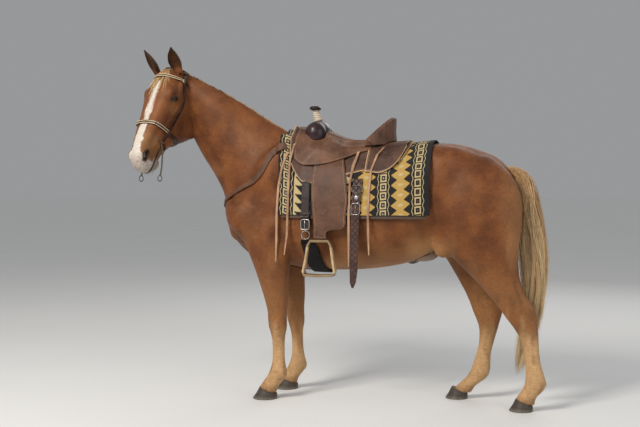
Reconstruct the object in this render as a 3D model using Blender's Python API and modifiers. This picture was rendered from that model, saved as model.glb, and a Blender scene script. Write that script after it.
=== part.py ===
"""Missouri fox trotter gelding, standing tacked up in western gear, as a life-size still model.

Metres, +Z up. The horse faces -X, its left side is on -Y, and it stands on the plane z = 0.
The body is modelled as clay: lofted masses joined by a voxel remesh, shaped with soft strokes,
thinned, and then parted into its pieces with narrow cuts.
"""
import math
import random

import bmesh
import bpy
import numpy as np
from mathutils import Euler, Matrix, Vector
from mathutils.bvhtree import BVHTree

# Driving sizes of the horse
FORE_X = -0.435                 # x of the midpoint between the fore hooves
FORE_TRACK = 0.160              # half the distance between the fore hooves
HIND_TRACK = 0.128
HEAD_SCALE = 0.99               # the head sizes below are for a head 0.66 long, poll to upper lip
HEAD_TURN = math.radians(70)    # the head looks to its left by this much
FACE_TILT = math.radians(28.5)    # the face line leans this far off the vertical
POLL = Vector((FORE_X - 0.658, -0.154, 1.943))
FAR_HIND_STEP = -0.383          # how far the right hind hoof stands ahead of the left one
FAR_FORE_STEP = 0.035
GAP = 0.0003                    # between pieces that touch

# Resolution of the clay and of the solids
BODY_VOXEL = 0.010
HEAD_VOXEL = 0.0055
RING = 28

# Head frame: x runs down the face from the poll, y to the horse's left, z out of the face
HEADING = Vector((-math.cos(HEAD_TURN), -math.sin(HEAD_TURN), 0.0))
FACE_X = HEADING * math.sin(FACE_TILT) - Vector((0, 0, 1)) * math.cos(FACE_TILT)
FACE_Z = HEADING * math.cos(FACE_TILT) + Vector((0, 0, 1)) * math.sin(FACE_TILT)
FACE_Y = FACE_Z.cross(FACE_X)


def head_point(x, y, z):
    """A point of the head frame in the horse's frame."""
    return POLL + HEAD_SCALE * (FACE_X * x + FACE_Y * y + FACE_Z * z)


def head_dir(x, y, z):
    return (FACE_X * x + FACE_Y * y + FACE_Z * z).normalized()


def body_point(s, left, z):
    """s runs back from the fore hooves' midpoint, left to the horse's left."""
    return Vector((FORE_X + s, -left, z))


def catmull(rows, per_gap):
    """Rows of numbers, with per_gap rows in each gap, on a smooth curve through them."""
    rows = np.array(rows, float)
    padded = np.vstack([2 * rows[0] - rows[1], rows, 2 * rows[-1] - rows[-2]])
    out = []
    for i in range(1, len(padded) - 2):
        p0, p1, p2, p3 = padded[i - 1:i + 3]
        for k in range(per_gap):
            t = k / per_gap
            out.append(0.5 * (2 * p1 + (p2 - p0) * t + (2 * p0 - 5 * p1 + 4 * p2 - p3) * t ** 2
                              + (3 * p1 - p0 - 3 * p2 + p3) * t ** 3))
    out.append(rows[-1])
    return np.array(out)


def ring_points(centre, side, up, half, above, below, power_top, power_bottom, count=RING):
    """A rounded section: half wide each way, above and below its centre, squarer as power grows."""
    points = []
    for k in range(count):
        a = 2 * math.pi * k / count
        c, s = math.cos(a), math.sin(a)
        power = power_top if s > 0 else power_bottom
        reach = above if s > 0 else below
        x = math.copysign(abs(c) ** (2 / power), c) * half
        y = math.copysign(abs(s) ** (2 / power), s) * reach
        points.append(centre + side * x + up * y)
    return points


def loft(bm, rings):
    """A closed skin over a row of rings with the same count of points."""
    made = [[bm.verts.new(p) for p in ring] for ring in rings]
    n = len(made[0])
    for low, high in zip(made, made[1:]):
        for k in range(n):
            bm.faces.new((low[k], low[(k + 1) % n], high[(k + 1) % n], high[k]))
    bm.faces.new(made[0][::-1])
    bm.faces.new(made[-1])
    bmesh.ops.triangulate(bm, faces=bm.faces)


def mesh_object(name, bm):
    bmesh.ops.recalc_face_normals(bm, faces=bm.faces)
    if bm.calc_volume(signed=True) < 0:
        bmesh.ops.reverse_faces(bm, faces=bm.faces)
    mesh = bpy.data.meshes.new(name)
    bm.to_mesh(mesh)
    bm.free()
    obj = bpy.data.objects.new(name, mesh)
    bpy.context.scene.collection.objects.link(obj)
    return obj


# Trunk: s, top, bottom, half width, height of the widest line, roundness above and below
TRUNK = [
    (-0.325, 1.150, 1.050, 0.055, 1.100, 2.0, 2.0),
    (-0.285, 1.235, 0.950, 0.130, 1.100, 2.2, 2.2),
    (-0.200, 1.350, 0.850, 0.185, 1.090, 2.2, 2.2),
    (-0.080, 1.460, 0.803, 0.215, 1.080, 2.0, 2.2),
    (0.050, 1.520, 0.770, 0.225, 1.070, 1.8, 2.2),
    (0.170, 1.543, 0.748, 0.243, 1.060, 1.7, 2.2),
    (0.320, 1.498, 0.742, 0.268, 1.070, 1.85, 2.2),
    (0.480, 1.455, 0.745, 0.288, 1.085, 2.0, 2.2),
    (0.640, 1.445, 0.762, 0.297, 1.100, 2.1, 2.2),
    (0.800, 1.460, 0.797, 0.288, 1.130, 2.2, 2.2),
    (0.930, 1.476, 0.860, 0.270, 1.170, 2.2, 2.1),
    (1.050, 1.474, 0.930, 0.255, 1.200, 2.2, 2.0),
    (1.180, 1.440, 0.990, 0.225, 1.210, 2.1, 2.0),
    (1.290, 1.392, 1.030, 0.170, 1.210, 2.0, 2.0),
    (1.356, 1.325, 1.090, 0.095, 1.210, 2.0, 2.0),
]


def trunk():
    bm = bmesh.new()
    rings = []
    for s, top, bottom, half, wide, p_top, p_bottom in catmull(TRUNK, 3):
        rings.append(ring_points(body_point(s, 0, wide), Vector((0, 1, 0)), Vector((0, 0, 1)),
                                 half, top - wide, wide - bottom, p_top, p_bottom))
    loft(bm, rings)
    return mesh_object("clay_trunk", bm)


# Neck: crest s, left and z, throat s, left and z, half width
NECK = [
    (0.200, 0.000, 1.500, -0.230, 0.000, 0.930, 0.180),
    (0.080, 0.000, 1.548, -0.310, 0.000, 1.060, 0.160),
    (-0.060, 0.003, 1.625, -0.345, 0.000, 1.190, 0.124),
    (-0.200, 0.015, 1.718, -0.405, 0.000, 1.300, 0.101),
    (-0.345, 0.045, 1.803, -0.470, 0.000, 1.400, 0.087),
    (-0.465, 0.070, 1.865, -0.532, -0.010, 1.505, 0.066),
    (-0.550, 0.090, 1.912, -0.580, -0.012, 1.605, 0.054),
    (-0.620, 0.115, 1.912, -0.612, 0.004, 1.690, 0.048),
]


def neck():
    rows = catmull(NECK, 3)
    ends = [(body_point(*row[:3]), body_point(*row[3:6]), row[6]) for row in rows]
    centres = [(crest + throat) / 2 for crest, throat, half in ends]
    rings = []
    for i, (crest, throat, half) in enumerate(ends):
        along = centres[min(i + 1, len(ends) - 1)] - centres[max(i - 1, 0)]
        up = (crest - throat).normalized()
        side = up.cross(along).normalized()
        reach = (crest - throat).length / 2
        rings.append(ring_points(centres[i], side, up, half, reach, reach, 1.7, 2.2))
    bm = bmesh.new()
    loft(bm, rings)
    return mesh_object("clay_neck", bm)


# Fore leg: z, front s, back s, half width, how far out its middle lies
FORE_LEG = [
    (1.020, -0.215, 0.130, 0.085, 0.140),
    (0.930, -0.175, 0.145, 0.092, 0.150),
    (0.860, -0.146, 0.140, 0.088, 0.158),
    (0.790, -0.114, 0.120, 0.078, 0.164),
    (0.710, -0.083, 0.108, 0.069, 0.166),
    (0.640, -0.060, 0.106, 0.061, 0.165),
    (0.570, -0.038, 0.105, 0.054, 0.163),
    (0.500, -0.022, 0.097, 0.048, 0.161),
    (0.455, -0.016, 0.096, 0.050, 0.160),
    (0.425, -0.013, 0.097, 0.052, 0.160),
    (0.392, -0.008, 0.092, 0.047, 0.160),
    (0.350, 0.003, 0.084, 0.037, 0.160),
    (0.280, 0.007, 0.083, 0.033, 0.160),
    (0.215, 0.004, 0.086, 0.034, 0.160),
    (0.165, -0.010, 0.098, 0.042, 0.160),
    (0.135, -0.024, 0.097, 0.043, 0.160),
    (0.100, -0.050, 0.070, 0.039, 0.160),
    (0.070, -0.070, 0.045, 0.041, 0.160),
    (0.050, -0.082, 0.036, 0.044, 0.160),
]
# Hind leg, in the same way
HIND_LEG = [
    (1.400, 1.020, 1.250, 0.080, 0.080),
    (1.300, 0.935, 1.370, 0.120, 0.120),
    (1.180, 0.900, 1.425, 0.138, 0.138),
    (1.060, 0.915, 1.432, 0.140, 0.143),
    (0.960, 0.950, 1.425, 0.130, 0.145),
    (0.880, 1.005, 1.415, 0.115, 0.145),
    (0.790, 1.095, 1.412, 0.092, 0.142),
    (0.700, 1.180, 1.425, 0.074, 0.138),
    (0.620, 1.252, 1.460, 0.060, 0.134),
    (0.560, 1.300, 1.502, 0.052, 0.132),
    (0.510, 1.335, 1.513, 0.052, 0.130),
    (0.455, 1.378, 1.516, 0.048, 0.129),
    (0.400, 1.412, 1.520, 0.040, 0.128),
    (0.330, 1.434, 1.524, 0.035, 0.128),
    (0.260, 1.441, 1.532, 0.035, 0.128),
    (0.200, 1.444, 1.550, 0.039, 0.128),
    (0.150, 1.440, 1.563, 0.044, 0.128),
    (0.115, 1.424, 1.545, 0.041, 0.128),
    (0.085, 1.402, 1.515, 0.041, 0.128),
    (0.060, 1.388, 1.500, 0.044, 0.128),
]


def lean(z, step, reach):
    """How far a slice of a leg at height z moves when the hoof steps by step."""
    return step * max(0.0, 1 - z / reach)


def leg(name, rows, side, step, reach):
    """A leg of slices at level heights. side is 1 on the horse's left and -1 on its right."""
    bm = bmesh.new()
    rings = []
    for z, front, back, half, out in catmull(rows, 2):
        shift = lean(z, step, reach)
        centre = body_point((front + back) / 2 + shift, side * out, z)
        rings.append(ring_points(centre, Vector((0, 1, 0)), Vector((1, 0, 0)), half,
                                 (back - front) / 2, (back - front) / 2, 2.0, 2.0))
    loft(bm, rings)
    return mesh_object(name, bm)


def ellipsoid(name, centre, axes, radii):
    """axes are three unit vectors, radii the reach along each."""
    bm = bmesh.new()
    bmesh.ops.create_uvsphere(bm, u_segments=24, v_segments=16, radius=1.0)
    turn = Matrix([[a[i] for a in axes] for i in range(3)])
    for v in bm.verts:
        v.co = centre + turn @ Vector((v.co.x * radii[0], v.co.y * radii[1], v.co.z * radii[2]))
    return mesh_object(name, bm)


WORLD_AXES = (Vector((1, 0, 0)), Vector((0, 1, 0)), Vector((0, 0, 1)))


def muscles():
    """The larger muscle masses, each a turned ellipsoid laid into the trunk: name, place, tilt, radii."""
    made = []
    for side in (1, -1):
        lay = [
            ("shoulder blade", (0.010, 0.138, 1.275), 62, (0.270, 0.082, 0.130)),
            ("upper arm", (-0.110, 0.160, 1.015), -38, (0.190, 0.078, 0.115)),
            ("elbow muscle", (0.035, 0.160, 0.985), 25, (0.155, 0.078, 0.130)),
            ("breast", (-0.200, 0.090, 1.030), 68, (0.125, 0.085, 0.068)),
            ("croup", (1.080, 0.110, 1.320), -18, (0.260, 0.125, 0.125)),
            ("stifle", (1.045 + (side < 0) * lean(0.9, FAR_HIND_STEP, 1.1), 0.142, 0.975), 62,
             (0.160, 0.078, 0.090)),
        ]
        for name, (s, left, z), tilt, radii in lay:
            a = math.radians(tilt)
            axes = (Vector((math.cos(a), 0, math.sin(a))), Vector((0, 1, 0)),
                    Vector((-math.sin(a), 0, math.cos(a))))
            made.append(ellipsoid(f"clay_{name}_{side}", body_point(s, side * left, z), axes, radii))
    return made


# Head, in its own frame: x, top z, bottom z, half width, z of the widest line, roundness above, below
HEAD = [
    (-0.032, -0.060, -0.160, 0.046, -0.100, 2.0, 2.0),
    (-0.008, -0.018, -0.220, 0.074, -0.095, 2.2, 2.0),
    (0.030, 0.000, -0.265, 0.090, -0.090, 2.4, 2.2),
    (0.085, 0.010, -0.305, 0.100, -0.085, 2.5, 2.4),
    (0.145, 0.018, -0.338, 0.112, -0.066, 2.8, 2.4),
    (0.205, 0.016, -0.362, 0.112, -0.074, 2.9, 2.4),
    (0.275, 0.010, -0.372, 0.102, -0.080, 2.8, 2.4),
    (0.335, 0.006, -0.328, 0.093, -0.080, 2.8, 2.3),
    (0.395, 0.004, -0.262, 0.086, -0.075, 2.7, 2.2),
    (0.460, 0.002, -0.215, 0.077, -0.075, 2.6, 2.2),
    (0.520, -0.002, -0.192, 0.069, -0.076, 2.5, 2.2),
    (0.575, -0.012, -0.184, 0.063, -0.076, 2.4, 2.2),
    (0.618, -0.030, -0.176, 0.056, -0.084, 2.3, 2.2),
    (0.645, -0.054, -0.162, 0.044, -0.095, 2.2, 2.2),
    (0.657, -0.080, -0.140, 0.028, -0.106, 2.0, 2.0),
]


def head():
    bm = bmesh.new()
    rings = []
    for x, top, bottom, half, wide, p_top, p_bottom in catmull(HEAD, 3):
        rings.append(ring_points(head_point(x, 0, wide), FACE_Y, FACE_Z, half * HEAD_SCALE,
                                 (top - wide) * HEAD_SCALE, (wide - bottom) * HEAD_SCALE,
                                 p_top, p_bottom))
    loft(bm, rings)
    return mesh_object("clay_head", bm)


EYE_AT = Vector((0.197, 0.099, -0.056))
EYE_RADIUS = 0.0220
EYE_LOOK = Vector((0.10, 0.93, 0.30))


def side_of(vector, side):
    return Vector((vector[0], side * vector[1], vector[2]))


def head_lumps():
    """Brow bones, cheeks, nostril wings, lips and chin, in the head's frame: place, tilt, radii."""
    lumps = [
        ("brow", (0.172, 0.088, -0.030), 12, (0.052, 0.030, 0.034)),
        ("cheek arch", (0.140, 0.098, -0.076), 8, (0.085, 0.018, 0.022)),
        ("cheek", (0.205, 0.070, -0.240), 48, (0.140, 0.036, 0.112)),
        ("nostril wing", (0.586, 0.044, -0.048), 20, (0.040, 0.018, 0.030)),
        ("upper lip", (0.612, 0.024, -0.096), 30, (0.042, 0.030, 0.038)),
    ]
    made = []
    for name, (x, y, z), tilt, radii in lumps:
        a = math.radians(tilt)
        for side in (1, -1):
            axes = (head_dir(math.cos(a), 0, -math.sin(a)), FACE_Y, head_dir(math.sin(a), 0, math.cos(a)))
            made.append(ellipsoid(f"clay_{name}_{side}", head_point(x, side * y, z), axes,
                                  [r * HEAD_SCALE for r in radii]))
    axes = (head_dir(1, 0, 0.25), FACE_Y, head_dir(-0.25, 0, 1))
    made.append(ellipsoid("clay_chin", head_point(0.578, 0, -0.180), axes, (0.046, 0.036, 0.028)))
    return made


def evaluated(obj):
    """The object's mesh with its modifiers applied."""
    graph = bpy.context.evaluated_depsgraph_get()
    graph.update()
    mesh = bpy.data.meshes.new_from_object(obj.evaluated_get(graph))
    obj.modifiers.clear()
    obj.data = mesh
    return obj


def join_clay(name, pieces, voxel, smooth):
    """Closed pieces made one closed skin by a voxel remesh, then relaxed."""
    bm = bmesh.new()
    for piece in pieces:
        bm.from_mesh(piece.data)
        bpy.data.objects.remove(piece)
    obj = mesh_object(name, bm)
    remesh = obj.modifiers.new("one skin", "REMESH")
    remesh.mode = "VOXEL"
    remesh.voxel_size = voxel
    remesh.adaptivity = 0.0
    relax = obj.modifiers.new("relax", "SMOOTH")
    relax.factor = 0.5
    relax.iterations = smooth
    return evaluated(obj)


def coordinates(mesh):
    co = np.empty(len(mesh.vertices) * 3)
    mesh.vertices.foreach_get("co", co)
    return co.reshape(-1, 3)


def bump(distance):
    """1 in the middle, falling softly to 0 at distance 1."""
    return np.clip(1 - distance ** 2, 0, 1) ** 2


def local(points):
    """Points in the head's own frame."""
    turn = np.array([FACE_X, FACE_Y, FACE_Z])
    return (points - np.array(POLL)) @ turn.T / HEAD_SCALE


def along_line(points, line):
    """Distance of each point from a polyline."""
    best = np.full(len(points), 1e9)
    for a, b in zip(np.array(line[:-1]), np.array(line[1:])):
        run = b - a
        t = np.clip((points - a) @ run / (run @ run), 0, 1)
        best = np.minimum(best, np.linalg.norm(points - a - t[:, None] * run, axis=1))
    return best


# Strokes on one half of the head, in its frame: line, reach, how far the surface moves out
HEAD_STROKES = [
    ("cheek bone", [(0.215, 0.096, -0.105), (0.300, 0.086, -0.098), (0.360, 0.078, -0.092)], 0.020, 0.006),
    ("hollow over the eye", [(0.132, 0.082, -0.014), (0.148, 0.088, -0.018)], 0.030, -0.007),
    ("hollow beside the nose", [(0.400, 0.074, -0.055), (0.500, 0.064, -0.050)], 0.034, -0.006),
    ("hollow before the cheek", [(0.345, 0.070, -0.170), (0.430, 0.062, -0.150)], 0.038, -0.008),
    ("edge of the cheek", [(0.060, 0.078, -0.225), (0.140, 0.078, -0.300), (0.250, 0.074, -0.345)],
     0.026, 0.005),
    ("mouth", [(0.505, 0.058, -0.118), (0.560, 0.056, -0.130), (0.610, 0.048, -0.138),
               (0.640, 0.032, -0.142), (0.655, 0.000, -0.144)], 0.0080, -0.007),
    ("lower lip", [(0.575, 0.050, -0.150), (0.620, 0.034, -0.156), (0.636, 0.000, -0.159)], 0.014, 0.003),
    ("chin groove", [(0.490, 0.030, -0.195), (0.500, 0.000, -0.200)], 0.030, -0.008),
    ("nostril rim", [(0.558, 0.058, -0.040), (0.584, 0.058, -0.026), (0.608, 0.054, -0.038),
                     (0.610, 0.054, -0.064)], 0.010, 0.004),
]
NOSTRIL = [(0.566, 0.063, -0.050), (0.588, 0.062, -0.042), (0.602, 0.059, -0.054)]


def model_head(obj):
    """Lids, nostrils, mouth line and the bones under the skin, pressed into the clay."""
    mesh = obj.data
    co = coordinates(mesh)
    normals = np.empty(len(co) * 3)
    mesh.vertices.foreach_get("normal", normals)
    normals = normals.reshape(-1, 3)
    at = local(co)
    half = np.column_stack([at[:, 0], np.abs(at[:, 1]), at[:, 2]])
    for name, line, reach, rise in HEAD_STROKES:
        co += normals * (bump(along_line(half, line) / reach) * rise)[:, None]
    sink = bump(along_line(half, NOSTRIL) / 0.014) * 0.024
    for side in (1, -1):
        inward = np.array(head_dir(-0.55, -side * 0.80, -0.10))
        co += inward * (sink * (at[:, 1] * side > 0))[:, None]
        shape_lids(co, side)
    mesh.vertices.foreach_set("co", co.ravel())
    mesh.update()


def eye_axes(side):
    """Unit vectors at an eye: along its slit, across it, and out of the head."""
    out = head_dir(*side_of(EYE_LOOK, side))
    slit = head_dir(0.90, side * 0.05, -0.42)
    slit = (slit - out * slit.dot(out)).normalized()
    return slit, out.cross(slit).normalized() * side, out


def shape_lids(co, side):
    """Skin over the eyeball everywhere but in an almond slit."""
    slit, across, out = (np.array(v) for v in eye_axes(side))
    centre = np.array(head_point(*side_of(EYE_AT, side)))
    rel = co - centre
    p, q, n = rel @ slit, rel @ across, rel @ out
    radius = EYE_RADIUS
    spread = np.sqrt(p ** 2 + q ** 2)
    open_half = 0.0125 * np.clip(1 - (p / 0.0205) ** 2, 0, 1)
    inside = np.abs(q) < open_half
    want = np.where(inside, radius - 0.0045, radius + 0.0030)
    far = np.linalg.norm(rel, axis=1)
    blend = np.clip((1.55 * radius - spread) / (0.45 * radius), 0, 1) * (n > 0)
    blend = blend * blend * (3 - 2 * blend)
    co += rel * ((want / np.maximum(far, 1e-6) - 1) * blend)[:, None]


EAR_AT = Vector((0.022, 0.088, -0.028))
EAR_LENGTH = 0.168
EAR_UP = Vector((-0.47, 0.06, 1.00))
# Ear, from its root up: share of the length, half width, depth of the cup, depth of its hollow, lean
EAR = [
    (-0.10, 0.022, 0.022, 0.004, 0.000),
    (0.04, 0.025, 0.024, 0.006, 0.000),
    (0.16, 0.029, 0.026, 0.018, 0.000),
    (0.34, 0.037, 0.027, 0.022, 0.000),
    (0.54, 0.036, 0.023, 0.019, 0.001),
    (0.74, 0.027, 0.016, 0.012, 0.004),
    (0.90, 0.012, 0.008, 0.005, 0.011),
    (1.00, 0.003, 0.003, 0.001, 0.016),
]


def ear(side):
    """A cupped leaf, open forwards and a little outwards."""
    up = head_dir(*side_of(EAR_UP, side))
    front = head_dir(1.00, side * 0.45, 0.45)
    front = (front - up * front.dot(up)).normalized()
    across = up.cross(front).normalized() * -side
    root = head_point(*side_of(EAR_AT, side))
    bm = bmesh.new()
    rings = []
    for share, half, cup, hollow, inward in EAR:
        centre = root + up * (share * EAR_LENGTH) - across * inward * 0.8
        ring = []
        for k in range(9):
            a = math.radians(-115 + 230 * k / 8)
            ring.append(centre + across * half * math.sin(a) - front * cup * math.cos(a))
        for k in range(5):
            a = math.radians(88 - 176 * k / 4)
            edge = max(half - 0.0045, half * 0.5)
            ring.append(centre + across * edge * math.sin(a) - front * (hollow * math.cos(a) - 0.002))
        rings.append(ring)
    loft(bm, rings)
    return mesh_object(f"ear_{side}", bm)


def boolean(obj, others, how, solver="MANIFOLD"):
    """Join or cut an object with the objects of a collection, and drop the collection."""
    group = bpy.data.collections.new("tools")
    for other in others:
        for owner in list(other.users_collection):
            owner.objects.unlink(other)
        group.objects.link(other)
    tool = obj.modifiers.new(how.lower(), "BOOLEAN")
    tool.operation = how
    tool.operand_type = "COLLECTION"
    tool.collection = group
    tool.solver = solver
    evaluated(obj)
    for other in others:
        bpy.data.objects.remove(other)
    bpy.data.collections.remove(group)
    return obj


def shells(obj):
    """The closed surfaces of an object as a list of bmeshes, largest first."""
    bm = bmesh.new()
    bm.from_mesh(obj.data)
    seen = set()
    found = []
    for start in bm.faces:
        if start in seen:
            continue
        island = {start}
        stack = [start]
        while stack:
            for edge in stack.pop().edges:
                for face in edge.link_faces:
                    if face not in island:
                        island.add(face)
                        stack.append(face)
        seen |= island
        piece = bmesh.new()
        ordered = sorted(island, key=lambda face: face.index)
        twin = {}
        for face in ordered:
            for v in face.verts:
                if v not in twin:
                    twin[v] = piece.verts.new(v.co)
        for face in ordered:
            piece.faces.new([twin[v] for v in face.verts])
        found.append(piece)
    bm.free()
    return sorted(found, key=lambda b: -abs(b.calc_volume()))


def keep_largest(obj):
    pieces = shells(obj)
    pieces[0].to_mesh(obj.data)
    for piece in pieces:
        piece.free()
    return obj


def grown(obj, by):
    """A copy of a closed object, each point moved out by a small distance."""
    copy = bpy.data.objects.new("cutter", obj.data.copy())
    bpy.context.scene.collection.objects.link(copy)
    for vertex, normal in [(v, v.normal.copy()) for v in copy.data.vertices]:
        vertex.co += normal * by
    return copy


def clear_of(obj, others, by=0.0008):
    """The object with what its neighbours fill cut away."""
    boolean(obj, [grown(other, by) for other in others], "DIFFERENCE")
    return keep_largest(obj)


def slab(centre, normal, across, width, depth):
    """A thin box that parts the clay: it lies square to normal, width along across and depth over it."""
    normal = normal.normalized()
    across = (across - normal * across.dot(normal)).normalized()
    third = normal.cross(across)
    bm = bmesh.new()
    bmesh.ops.create_cube(bm, size=1.0)
    for v in bm.verts:
        v.co = centre + across * v.co.x * width + third * v.co.y * depth + normal * v.co.z * GAP
    return mesh_object("slab", bm)


def block(centre, normal, across, width, depth, height):
    """A box whose lower face is centred on centre, standing along normal."""
    normal = normal.normalized()
    across = (across - normal * across.dot(normal)).normalized()
    third = normal.cross(across)
    bm = bmesh.new()
    bmesh.ops.create_cube(bm, size=1.0)
    for v in bm.verts:
        v.co = (centre + across * v.co.x * width + third * v.co.y * depth
                + normal * (v.co.z + 0.5) * height)
    return mesh_object("block", bm)


def thin(obj, triangles):
    """Fewer triangles, with as little change of shape as can be."""
    obj.data.calc_loop_triangles()
    tool = obj.modifiers.new("thin", "DECIMATE")
    tool.ratio = triangles / len(obj.data.loop_triangles)
    tool.use_collapse_triangulate = True
    return evaluated(obj)


# Hoof: height, how far its middle lies ahead of the coronet's, length, width
HOOF = [
    (0.000, 0.016, 0.142, 0.134),
    (0.004, 0.016, 0.144, 0.136),
    (0.030, 0.006, 0.124, 0.120),
    (0.062, -0.004, 0.100, 0.102),
]
CORONET_FALL = 0.42             # the coronet drops this much over its length, toe to heel
HOOVES = {
    "fore_left": (0.000, FORE_TRACK, -0.022),
    "fore_right": (FAR_FORE_STEP, -FORE_TRACK, -0.022),
    "hind_left": (1.448, HIND_TRACK, -0.012),
    "hind_right": (1.448 + FAR_HIND_STEP, -HIND_TRACK, -0.012),
}


def coronet(key):
    """Middle of a coronet, and the direction its plane faces."""
    s, left, ahead = HOOVES[key]
    normal = Vector((CORONET_FALL, 0, 1)).normalized()
    return body_point(s + ahead, left, 0.052), normal


def hoof(key):
    """A horn shoe-shaped block with a flat sole and a slanted top just under the coronet."""
    centre, normal = coronet(key)
    small = 0.90 if key.startswith("hind") else 1.0
    bm = bmesh.new()
    rings = []
    for height, ahead, length, width in HOOF:
        ring = []
        for k in range(16):
            a = 2 * math.pi * k / 16
            x = centre.x - ahead * small - math.cos(a) * length * small / 2
            y = centre.y + math.sin(a) * width * small / 2
            z = height
            if height == HOOF[-1][0]:
                top = centre - normal * GAP
                z = top.z - (x - top.x) * normal.x / normal.z
            ring.append(Vector((x, y, z)))
        rings.append(ring)
    loft(bm, rings)
    return mesh_object(f"hoof_{key}", bm)


def lock(path, widths, thick, face):
    """A flat tapered lock of hair along path. face is the way its flat side looks."""
    bm = bmesh.new()
    rings = []
    for i, point in enumerate(path):
        run = (path[min(i + 1, len(path) - 1)] - path[max(i - 1, 0)]).normalized()
        flat = face[i] if isinstance(face, list) else face
        across = run.cross(flat).normalized()
        out = across.cross(run).normalized()
        share = i / (len(path) - 1)
        belly = 0.55 + 0.75 * math.sin(math.pi * (0.12 + 0.62 * share))
        half = widths * belly * (1 - share ** 3 * 0.88) / 2
        deep = thick * (1 - 0.80 * share) / 2
        rings.append([point + across * half, point + out * deep, point - across * half, point - out * deep])
    loft(bm, rings)
    return mesh_object("lock", bm)


# Middle line of the tail, from its root down: s, height, half depth, half width of the whole tail
TAIL = [
    (1.318, 1.350, 0.030, 0.032),
    (1.380, 1.335, 0.034, 0.036),
    (1.426, 1.278, 0.040, 0.048),
    (1.454, 1.180, 0.050, 0.060),
    (1.474, 1.020, 0.062, 0.070),
    (1.487, 0.850, 0.071, 0.072),
    (1.489, 0.680, 0.066, 0.060),
    (1.474, 0.520, 0.056, 0.050),
    (1.448, 0.380, 0.046, 0.042),
    (1.412, 0.250, 0.032, 0.030),
    (1.388, 0.170, 0.018, 0.018),
]
TAIL_LOCKS = 8
DOCK_ROWS = 5


def tail_core():
    """The dock with the close hair round it, down to half the tail's length."""
    rings = []
    for i, (s, z, deep, wide) in enumerate(TAIL[:DOCK_ROWS + 1]):
        before, after = TAIL[max(i - 1, 0)], TAIL[i + 1]
        run = Vector((after[0] - before[0], 0, after[1] - before[1])).normalized()
        back = Vector((-run.z, 0, run.x))
        size = 0.95 if i < 2 else 0.80 - 0.13 * (i - 2)
        rings.append(ring_points(body_point(s, 0, z), Vector((0, 1, 0)), back, wide * size,
                                 deep * size, deep * size, 2, 2, 12))
    bm = bmesh.new()
    loft(bm, rings)
    return mesh_object("tail", bm)


def tail_locks():
    """Locks that leave the dock one below the other, hang in waves and end between hock and fetlock."""
    draw = random.Random(26)
    made = []
    for k in range(TAIL_LOCKS):
        angle = 2.399963 * k
        start = 1.2 + 3.0 * (k % 9) / 9
        end = 10.0 if k % 3 == 0 else draw.uniform(6.8, 9.0)
        wave = draw.uniform(0, 6.28)
        path = []
        face = []
        steps = 7
        for i in range(steps):
            row = start + (end - start) * i / (steps - 1)
            low = min(int(row), len(TAIL) - 2)
            s, z, deep, wide = [a + (b - a) * (row - low) for a, b in zip(TAIL[low], TAIL[low + 1])]
            turn = angle + 0.35 * math.sin(1.1 * row + wave)
            out = min(1.0, 0.30 + 0.70 * i / 2.5)
            near = 0.80 if row > 7.5 else 1.0
            sway = 0.006 * math.sin(1.9 * row + wave)
            back = math.cos(turn) * deep * out * near + sway
            left = math.sin(turn) * wide * out * near
            path.append(body_point(s + back, left, z))
            face.append(Vector((math.cos(turn), -math.sin(turn) * 0.9, 0.05)))
        made.append(lock(path, draw.uniform(0.074, 0.090), 0.026, face))
    return made


MANE_LOCKS = 9


def mane_locks(flesh):
    """Locks from the crest that fall over the right side of the neck."""
    draw = random.Random(5)
    rows = catmull(NECK, 8)
    first, last = 9, 43
    tree = BVHTree.FromObject(flesh, bpy.context.evaluated_depsgraph_get())
    made = []
    for k in range(MANE_LOCKS):
        row = rows[round(first + (last - first) * k / (MANE_LOCKS - 1))]
        crest, throat = body_point(*row[:3]), body_point(*row[3:6])
        down = (throat - crest).normalized()
        length = (0.17 + 0.09 * math.sin(math.pi * k / (MANE_LOCKS - 1))) * draw.uniform(0.88, 1.10)
        drift = draw.uniform(-0.20, 0.35)
        path = [crest + down * 0.016 + Vector((0, 0.002, 0))]
        face = [Vector((0, 0.35, 0.9))]
        for i in range(1, 6):
            share = i / 5
            probe = crest + down * length * share + Vector((0.10 * drift * share, 0.30, 0.02))
            hit, normal, index, distance = tree.ray_cast(probe, Vector((0, -1, 0)))
            if hit is None:
                break
            path.append(hit + normal * (0.003 + 0.007 * share))
            face.append(normal)
        if len(path) > 3:
            made.append(lock(path, draw.uniform(0.098, 0.112), 0.017, face))
    return made


FORELOCK = [(-0.028, 0.250), (-0.010, 0.270), (0.010, 0.220), (0.030, 0.175)]


def forelock_locks(flesh):
    """Locks from between the ears, laid down the forehead and leaning to the right."""
    tree = BVHTree.FromObject(flesh, bpy.context.evaluated_depsgraph_get())
    made = []
    for start, length in FORELOCK:
        path = [head_point(0.000, start, -0.012)]
        face = [FACE_Z]
        for i in range(1, 7):
            share = i / 6
            x = 0.012 + length * share * 0.92
            y = start - 0.050 * share ** 1.3
            hit, normal, index, distance = tree.ray_cast(head_point(x, y, 0.2), -FACE_Z)
            path.append(hit + normal * (0.002 + 0.003 * share))
            face.append(normal)
        made.append(lock(path, 0.034, 0.011, face))
    return made


def eye(side):
    """The eyeball, in the socket that the lids cover."""
    bm = bmesh.new()
    bmesh.ops.create_icosphere(bm, subdivisions=2, radius=EYE_RADIUS)
    obj = mesh_object(f"eye_{'left' if side > 0 else 'right'}", bm)
    obj.location = head_point(*side_of(EYE_AT, side))
    return obj


def eye_socket(side):
    bm = bmesh.new()
    bmesh.ops.create_icosphere(bm, subdivisions=2, radius=EYE_RADIUS + GAP * 1.5)
    bmesh.ops.translate(bm, verts=bm.verts, vec=head_point(*side_of(EYE_AT, side)))
    return mesh_object("socket", bm)


X, Y, Z = Vector((1, 0, 0)), Vector((0, 1, 0)), Vector((0, 0, 1))


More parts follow.
